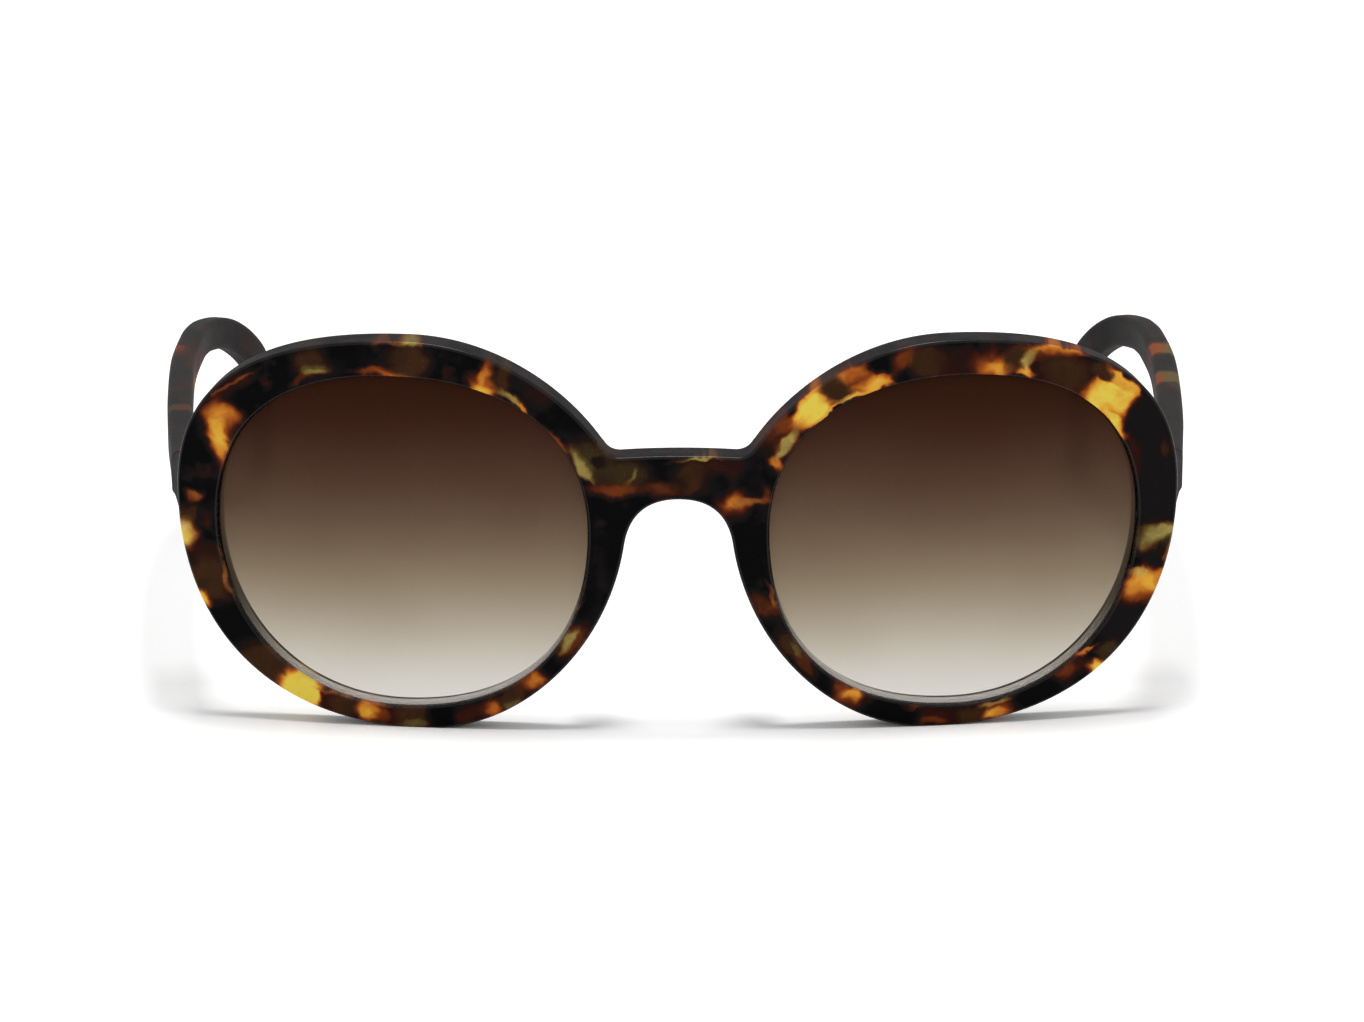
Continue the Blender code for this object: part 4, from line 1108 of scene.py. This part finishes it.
def colour_scale(tree, share, stops):
    """A colour ramp through (place, colour) stops."""
    made = add(tree, "ValToRGB", {0: share})
    ramp = made.color_ramp
    while len(ramp.elements) < len(stops):
        ramp.elements.new(0.5)
    for element, (place_on_scale, _) in zip(ramp.elements, stops):
        element.position = place_on_scale
    for element, (_, colour) in zip(ramp.elements, stops):
        element.color = colour
    return made.outputs[0]


def ellipse_mask(tree, vector, centre, half_length, half_width, tilt, soft):
    """1 inside a tilted ellipse in the X-Z plane, easing to 0 at its edge."""
    inputs = {
        "Vector": vector,
        "Location": (centre[0], 0, centre[1]),
        "Rotation": (0, -tilt, 0),
        "Scale": (half_length, 1, half_width),
    }
    mapped = add(tree, "Mapping", inputs, vector_type="TEXTURE").outputs[0]
    ball = add(tree, "TexGradient", {"Vector": mapped}, gradient_type="SPHERICAL").outputs[1]
    return levels(tree, ball, 0.0, soft)


def vector_maths(tree, operation, *values):
    return add(tree, "VectorMath", dict(enumerate(values)), operation=operation).outputs[0]


def warped(tree, vector, amounts):
    """A vector moved about by noise, given as (size in mm, features per mm) pairs."""
    for amount, per_mm in amounts:
        colour = noise(tree, vector, per_mm, 1.0, output="Color")
        centred = vector_maths(tree, "SUBTRACT", colour, (0.5, 0.5, 0.5))
        moved = vector_maths(tree, "MULTIPLY", centred, (amount * 2 * MM,) * 3)
        vector = vector_maths(tree, "ADD", vector, moved)
    return vector


def shade_fields(name):
    return (*SHADES[name], 0.0, 1.0)


def tortoise_colour(tree, warmth, green):
    """The colour at a warmth, between the warm scale and the green one."""
    return blend_colour(
        tree, green, colour_scale(tree, warmth, WARM), colour_scale(tree, warmth, GREEN)
    )


def tortoise_group():
    """A node group whose output is the front's tortoise colour at a place in object space."""
    group = bpy.data.node_groups.new("tortoise_front", "ShaderNodeTree")
    group.interface.new_socket("Vector", in_out="INPUT", socket_type="NodeSocketVector")
    group.interface.new_socket("Colour", in_out="OUTPUT", socket_type="NodeSocketColor")
    start = group.nodes.new("NodeGroupInput")
    end = group.nodes.new("NodeGroupOutput")
    place_in = start.outputs[0]
    split = add(group, "SeparateXYZ", {0: place_in})
    flat = add(group, "CombineXYZ", {0: split.outputs[0], 2: split.outputs[2]}).outputs[0]
    bent = warped(group, flat, FRONT_WARP)
    cloud = levels(group, noise(group, bent, 0.16, 3.0), 0.45, 0.65)
    fields = blend_colour(group, cloud, shade_fields("black"), shade_fields("night"))
    reds = levels(group, noise(group, bent, 0.23), 0.55, 0.72)
    fields = blend_colour(group, reds, fields, shade_fields("wine"))
    for across, down, length, width, tilt, soft, name, strength in BLOTCHES:
        tilt = math.radians(tilt)
        soft = SOFT_LEAST + SOFT_MORE * soft
        centre = flat_place(across, down)
        cos, sin = math.cos(tilt), math.sin(tilt)
        along = flat_place(across + cos * length, down - sin * length) - centre
        beside = flat_place(across - sin * width, down - cos * width) - centre
        half_length, half_width = (np.linalg.norm(v) / (1 - soft / 2) for v in (along, beside))
        lean = math.atan2(along[1], along[0])
        mask = ellipse_mask(group, bent, centre, half_length, half_width, lean, soft)
        share = maths(group, "MULTIPLY", mask, strength)
        fields = blend_colour(group, share, fields, shade_fields(name))
    parts = add(group, "SeparateColor", {0: fields})
    mottle = levels(group, noise(group, bent, 0.30, 3.0), 0.25, 0.75, 0.86, 1.08)
    warmth = maths(group, "MULTIPLY", parts.outputs[0], mottle)
    dust = levels(group, noise(group, flat, 3.2, roughness=0.7), 0.58, 0.72)
    green = parts.outputs[1]
    speck = maths(group, "MULTIPLY", maths(group, "MULTIPLY", dust, green), 0.16)
    warmth = maths(group, "ADD", warmth, speck, clamp=True)
    group.links.new(tortoise_colour(group, warmth, green), end.inputs[0])
    return group


def pattern_colour(tree, group, where):
    pattern = tree.nodes.new("ShaderNodeGroup")
    pattern.node_tree = group
    tree.links.new(where, pattern.inputs[0])
    return pattern.outputs[0]


def printed_face(group, name, gloss, roughness):
    """The printed tortoise under a thin lacquer."""
    made, tree, where = new_surface(name)
    grain = noise(tree, where, 5.0)
    orange_peel = noise(tree, where, 1.1)
    height = maths(tree, "ADD", maths(tree, "MULTIPLY", grain, 0.25), orange_peel)
    principled(tree, {
        "Base Color": pattern_colour(tree, group, where),
        "Roughness": levels(tree, orange_peel, 0.3, 0.7, roughness * 0.85, roughness * 1.15),
        "IOR": PLASTIC_IOR,
        "Specular IOR Level": gloss,
        "Normal": bump(tree, height, 0.25, 0.006 * MM),
    })
    return made


def matte_finish(tree, where, colour, smoothest, roughest):
    """The soft matte finish of the frame's walls and of the temples, over a colour."""
    grain = noise(tree, where, FINE_GRAIN, 3.0)
    principled(tree, {
        "Base Color": colour,
        "Roughness": levels(tree, grain, 0.3, 0.7, smoothest, roughest),
        "IOR": PLASTIC_IOR,
        "Specular IOR Level": MATTE_GLOSS,
        "Normal": bump(tree, grain, 0.35, 0.01 * MM),
    })


def matte_wall(group):
    """The frame's edges and walls: the pattern mixed into grey, which is a painted sheen of the white
    surroundings, under a soft matte finish.
    """
    made, tree, where = new_surface("tortoise_wall")
    cloud = levels(tree, noise(tree, where, 0.3), 0.35, 0.65)
    # Grey over most of the pattern: a painted sheen of the white surroundings on the walls
    painted_sheen = blend_colour(tree, cloud, linear(30, 28, 28), linear(48, 45, 45))
    pattern_in_sheen = blend_colour(tree, WALL_PATTERN, painted_sheen, pattern_colour(tree, group, where))
    matte_finish(tree, where, pattern_in_sheen, 0.62, 0.74)
    return made


# Temple bands: where along the temple, half width (both in mm), strength, and on which side
TEMPLE_BANDS = (
    (5.5, 4.4, 0.60, 1),
    (-13.0, 4.2, 0.58, 1),
    (-30.0, 2.0, 0.42, -1),
)
# Grey mixed into the temples' colour: a painted sheen of the white surroundings
TEMPLE_SHEEN_GREY = linear(34, 31, 30)


def temple_material():
    """A dull tortoise: amber clouds and bands lost in dark brown, with grey over it as a painted
    sheen, more on upward faces, under a matte finish.
    """
    made, tree, where = new_surface("tortoise_temple")
    bent = warped(tree, vector_maths(tree, "MULTIPLY", where, (1.0, 0.55, 1.0)), TEMPLE_WARP)
    warmth = levels(tree, noise(tree, bent, 0.075), 0.50, 0.72, 0.0, 0.80)
    dusk = levels(tree, noise(tree, bent, 0.16), 0.40, 0.65, 0.0, 0.26)
    warmth = maths(tree, "MAXIMUM", warmth, dusk)
    place_on = add(tree, "SeparateXYZ", {0: warped(tree, where, BAND_WARP)})
    right = maths(tree, "GREATER_THAN", place_on.outputs[0], 0.0)
    facing = add(tree, "TexCoord").outputs["Normal"]
    upright = maths(tree, "ABSOLUTE", add(tree, "SeparateXYZ", {0: facing}).outputs[2])
    on_top = levels(tree, upright, 0.1, 0.7, 0.45, 1.0)
    for along, half, strength, side in TEMPLE_BANDS:
        off = maths(tree, "ABSOLUTE", maths(tree, "SUBTRACT", place_on.outputs[1], along * MM))
        band = levels(tree, off, 0.5 * half * MM, 1.5 * half * MM, strength, 0.0)
        wanted = right if side > 0 else maths(tree, "SUBTRACT", 1.0, right)
        wanted = maths(tree, "MULTIPLY", wanted, on_top)
        warmth = maths(tree, "MAXIMUM", warmth, maths(tree, "MULTIPLY", band, wanted))
    murk = levels(tree, noise(tree, bent, 0.11), 0.52, 0.64)
    colour = tortoise_colour(tree, warmth, murk)
    # More of the grey on upward faces: painted sheen, lighter on the tops
    colour = blend_colour(tree, levels(tree, upright, 0.3, 0.9, 0.42, 0.52), colour, TEMPLE_SHEEN_GREY)
    matte_finish(tree, where, colour, 0.60, 0.72)
    return made


# Lens tint from its lower edge to its upper edge: height above the floor in mm, the colour it shows
# over a floor of plain strength, and the share kept because rays through the lens meet a brighter one
LENS_TINT = (
    (1.0, linear(230, 228, 224), 0.75),
    (5.7, linear(223, 220, 213), 0.75),
    (13.0, linear(193, 183, 167), 0.76),
    (20.4, linear(162, 148, 124), 0.79),
    (27.6, linear(141, 120, 98), 0.83),
    (34.9, linear(115, 88, 71), 0.88),
    (42.1, linear(87, 57, 45), 0.94),
    (47.5, linear(69, 39, 26), 0.95),
    (52.0, linear(66, 36, 23), 0.95),
)
LENS_CLEAR_BELOW = 8 * MM
LENS_DENSE_ABOVE = 44 * MM
LENS_LEAST_CLEAR = 0.28
FROST_BELOW = 5 * MM
FROST_GONE_ABOVE = 24 * MM
LENS_IOR = 1.05
LENS_ROUGHNESS = 0.28
TINT_STOPS = 31
TINT_SMOOTHING = (-3.0, -1.5, 0.0, 1.5, 3.0)


def lens_stops():
    """The tint as evenly spaced stops, averaged over a few mm so that none shows as a line."""
    heights = [height for height, _, _ in LENS_TINT]
    colours = [(*(level * kept for level in colour[:3]), 1.0) for _, colour, kept in LENS_TINT]
    stops = []
    for share in np.linspace(0, 1, TINT_STOPS):
        height = heights[0] + share * (heights[-1] - heights[0])
        nearby = [
            [np.interp(height + off, heights, channel) for channel in zip(*colours)]
            for off in TINT_SMOOTHING
        ]
        stops.append((share, np.mean(nearby, axis=0)))
    return stops


def lens_material():
    """Brown gradient tint, dark above and nearly clear below."""
    made, tree, where = new_surface("gradient_lens")
    height = add(tree, "SeparateXYZ", {0: where}).outputs[2]
    mottle = levels(tree, noise(tree, where, 0.05, 1.0), 0.3, 0.7, -0.6 * MM, 0.6 * MM)
    height = maths(tree, "ADD", height, mottle)
    low, high = LENS_TINT[0][0], LENS_TINT[-1][0]
    share = add(tree, "MapRange", {0: height, 1: low * MM, 2: high * MM}).outputs[0]
    clear = levels(tree, height, LENS_CLEAR_BELOW, LENS_DENSE_ABOVE, 1.0, LENS_LEAST_CLEAR)
    principled(tree, {
        "Base Color": colour_scale(tree, share, lens_stops()),
        "Roughness": LENS_ROUGHNESS,
        "IOR": LENS_IOR,
        "Transmission Weight": clear,
    })
    return made


def ground_edge():
    """The lens's ground bevel, frosted white below and lost in the tint above."""
    made, tree, where = new_surface("ground_edge")
    grain = noise(tree, where, FINE_GRAIN, 3.0)
    frost = blend_colour(tree, grain, linear(250, 249, 247), linear(238, 236, 232))
    height = add(tree, "SeparateXYZ", {0: where}).outputs[2]
    tinted = levels(tree, height, FROST_BELOW, FROST_GONE_ABOVE)
    principled(tree, {
        "Base Color": blend_colour(tree, tinted, frost, linear(22, 17, 14)),
        "Roughness": levels(tree, grain, 0.3, 0.7, 0.45, 0.60),
        "IOR": 1.3,
        "Transmission Weight": 0.25,
        "Normal": bump(tree, grain, 0.4, 0.01 * MM),
    })
    return made


def metal(name, light, dark, roughness):
    """Brushed or turned metal with a little tarnish."""
    made, tree, where = new_surface(name)
    streaked = vector_maths(tree, "MULTIPLY", where, (6.0, 0.6, 6.0))
    lines = noise(tree, streaked, 1.6, 3.0)
    tarnish = levels(tree, noise(tree, where, 0.7, 3.0), 0.35, 0.7)
    principled(tree, {
        "Base Color": blend_colour(tree, tarnish, light, dark),
        "Metallic": 1.0,
        "Roughness": levels(tree, lines, 0.3, 0.7, roughness * 0.8, roughness * 1.3),
        "Normal": bump(tree, lines, 0.3, 0.004 * MM),
    })
    return made


def painted_reflection_edge():
    """The inner edge behind the lens, smooth and painted near white: a painted reflection of the white
    surroundings.
    """
    made, tree, where = new_surface("groove_painted_reflection")
    cloud = noise(tree, where, 0.8, 3.0)
    shade = levels(tree, cloud, 0.35, 0.65)
    principled(tree, {
        "Base Color": blend_colour(tree, shade, linear(250, 248, 244), linear(236, 231, 224)),
        "Roughness": levels(tree, cloud, 0.3, 0.7, 0.15, 0.25),
        "Normal": bump(tree, cloud, 0.2, 0.01 * MM),
    })
    return made


# Hinge metal: the CAD shapes, most of them with their edges broken

WELD_WITHIN = 0.002 * MM
FLAT_WITHIN = math.radians(3)
BEVEL_ABOVE = math.radians(35)


def cad_copy(node, name, look):
    """A copy of a CAD node's shape in another material, with its faces joined at their corners."""
    made = new_object(name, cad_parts[node].data.copy())
    made.data.materials.clear()
    made.data.materials.append(look)
    weld = made.modifiers.new("Weld", "WELD")
    weld.merge_threshold = WELD_WITHIN
    return made


def broken_edges(node, name, look, width):
    made = cad_copy(node, name, look)
    merge = made.modifiers.new("Merge", "DECIMATE")
    merge.decimate_type = "DISSOLVE"
    merge.angle_limit = FLAT_WITHIN
    edge = made.modifiers.new("Bevel", "BEVEL")
    edge.width = width
    edge.segments = 2
    edge.limit_method = "ANGLE"
    edge.angle_limit = BEVEL_ABOVE
    applied(made)
    smooth(made)
    return made


def closing_spring(node, name, look):
    """The coil spring between the stop ring and the rod's end collar, in its CAD shape with smooth
    shading.
    """
    made = cad_copy(node, name, look)
    applied(made)
    made.data.shade_smooth()
    return made


# Stage: camera, floor and light. The floor's shown level makes it white where no shadow falls.

CAMERA_CLIP = (0.01, 20)
FLOOR_HALF = 4.0
FLOOR_CELLS = 40
FLOOR_COLOUR = 0.94
FLOOR_SHOWN = 1.26
WORLD_LIGHT = 0.42
KEY_POWER = 7.8
KEY_SIZE = 0.35
KEY_PLACE = Vector((0.02, -0.125, 1.1))
KEY_AIM = Vector((0, 0, 0.02))


def build_camera():
    data = bpy.data.cameras.new("camera")
    data.sensor_width = SENSOR_WIDTH
    data.lens = FOCAL_PIXELS / IMAGE_WIDTH * SENSOR_WIDTH
    data.clip_start, data.clip_end = CAMERA_CLIP
    made = new_object("camera", data)
    made.location = CAMERA_PLACE
    forward = camera_axes()[0]
    made.rotation_euler = forward.to_track_quat("-Z", "Y").to_euler()
    bpy.context.scene.camera = made




def shown_ray(tree):
    """1 for rays that show the room: straight to the camera, mirrored, or through the lenses."""
    path = add(tree, "LightPath")
    seen = maths(tree, "MAXIMUM", path.outputs["Is Camera Ray"], path.outputs["Is Glossy Ray"])
    return maths(tree, "MAXIMUM", seen, path.outputs["Is Transmission Ray"])


def build_floor():
    ticks = [FLOOR_HALF * (2 * i / FLOOR_CELLS - 1) for i in range(FLOOR_CELLS + 1)]
    points = [(x, y, 0) for x in ticks for y in ticks]
    faces, size = [], len(ticks)
    for i in range(FLOOR_CELLS):
        for j in range(FLOOR_CELLS):
            a = i * size + j
            faces.append((a, a + size, a + size + 1, a + 1))
    made = mesh_object("floor", points, faces)
    look, tree = new_material("floor_white")
    level = add(tree, "MapRange", {0: shown_ray(tree), 3: FLOOR_COLOUR, 4: FLOOR_SHOWN}).outputs[0]
    finish_material(tree, add(tree, "BsdfDiffuse", {"Color": level}))
    made.data.materials.append(look)


def build_world():
    world = bpy.data.worlds.new("studio")
    bpy.context.scene.world = world
    world.use_nodes = True
    tree = world.node_tree
    tree.nodes.clear()
    strength = add(tree, "MapRange", {0: shown_ray(tree), 3: WORLD_LIGHT, 4: 1.0}).outputs[0]
    sky = add(tree, "Background", {"Color": (1.0, 1.0, 1.0, 1.0), "Strength": strength})
    add(tree, "OutputWorld", {"Surface": sky.outputs[0]})


def build_lights():
    data = bpy.data.lights.new("key", "AREA")
    data.shape = "SQUARE"
    data.size = KEY_SIZE
    data.energy = KEY_POWER
    made = new_object("key", data)
    made.location = KEY_PLACE
    made.rotation_euler = (KEY_AIM - KEY_PLACE).to_track_quat("-Z", "Y").to_euler()


def main():
    bpy.context.scene.view_settings.view_transform = "Standard"
    build_camera()
    build_world()
    build_lights()
    build_floor()
    group = tortoise_group()
    face = printed_face(group, "tortoise_face", 0.03, 0.34)
    edge = printed_face(group, "tortoise_edge", 0.16, 0.28)
    looks = (face, matte_wall(group), painted_reflection_edge(), edge)
    temple_look = temple_material()
    lens_looks = (lens_material(), ground_edge())
    steel = metal("screw_steel", linear(196, 194, 190), linear(150, 146, 140), 0.22)
    nickel = metal("nickel_silver", linear(206, 196, 176), linear(160, 148, 124), 0.30)

    front = build_front(looks)
    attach(front, "front")
    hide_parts("front_frame")
    for label, side in (("right", 1), ("left", -1)):
        lens = build_lens(f"{label}_lens_shown", side, lens_looks)
        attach(lens, "front")
        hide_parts(f"{label}_lens")
        temple = build_temple(f"{label}_temple_shown", side, (temple_look,))
        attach(temple, f"{label}_side")
        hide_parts(f"{label}_temple")
        metal_pieces = (
            ("hinge_leaf", "front", nickel, 0.10, "brass"),
            ("hinge_screw", "front", steel, 0.07, "steel"),
            ("hinge_slider", f"{label}_slider", steel, 0.07, "steel"),
            ("spring_box", f"{label}_side", nickel, 0.15, "brass"),
            ("box_screw", f"{label}_side", steel, 0.05, "steel"),
        )
        for part, body, look, width, slot in metal_pieces:
            node = f"{label}_{part}"
            piece = broken_edges(node, f"{node}_shown", look, width * MM)
            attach(piece, body)
            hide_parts(node)
        node = f"{label}_coil_spring"
        spring = closing_spring(node, f"{node}_shown", steel)
        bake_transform(spring)
        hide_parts(node)
        for part in ("rod_end_collar", "stop_ring"):
            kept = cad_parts[f"{label}_{part}"]
            kept.data.materials.clear()
            kept.data.materials.append(steel)
            kept.data.shade_smooth()


main()
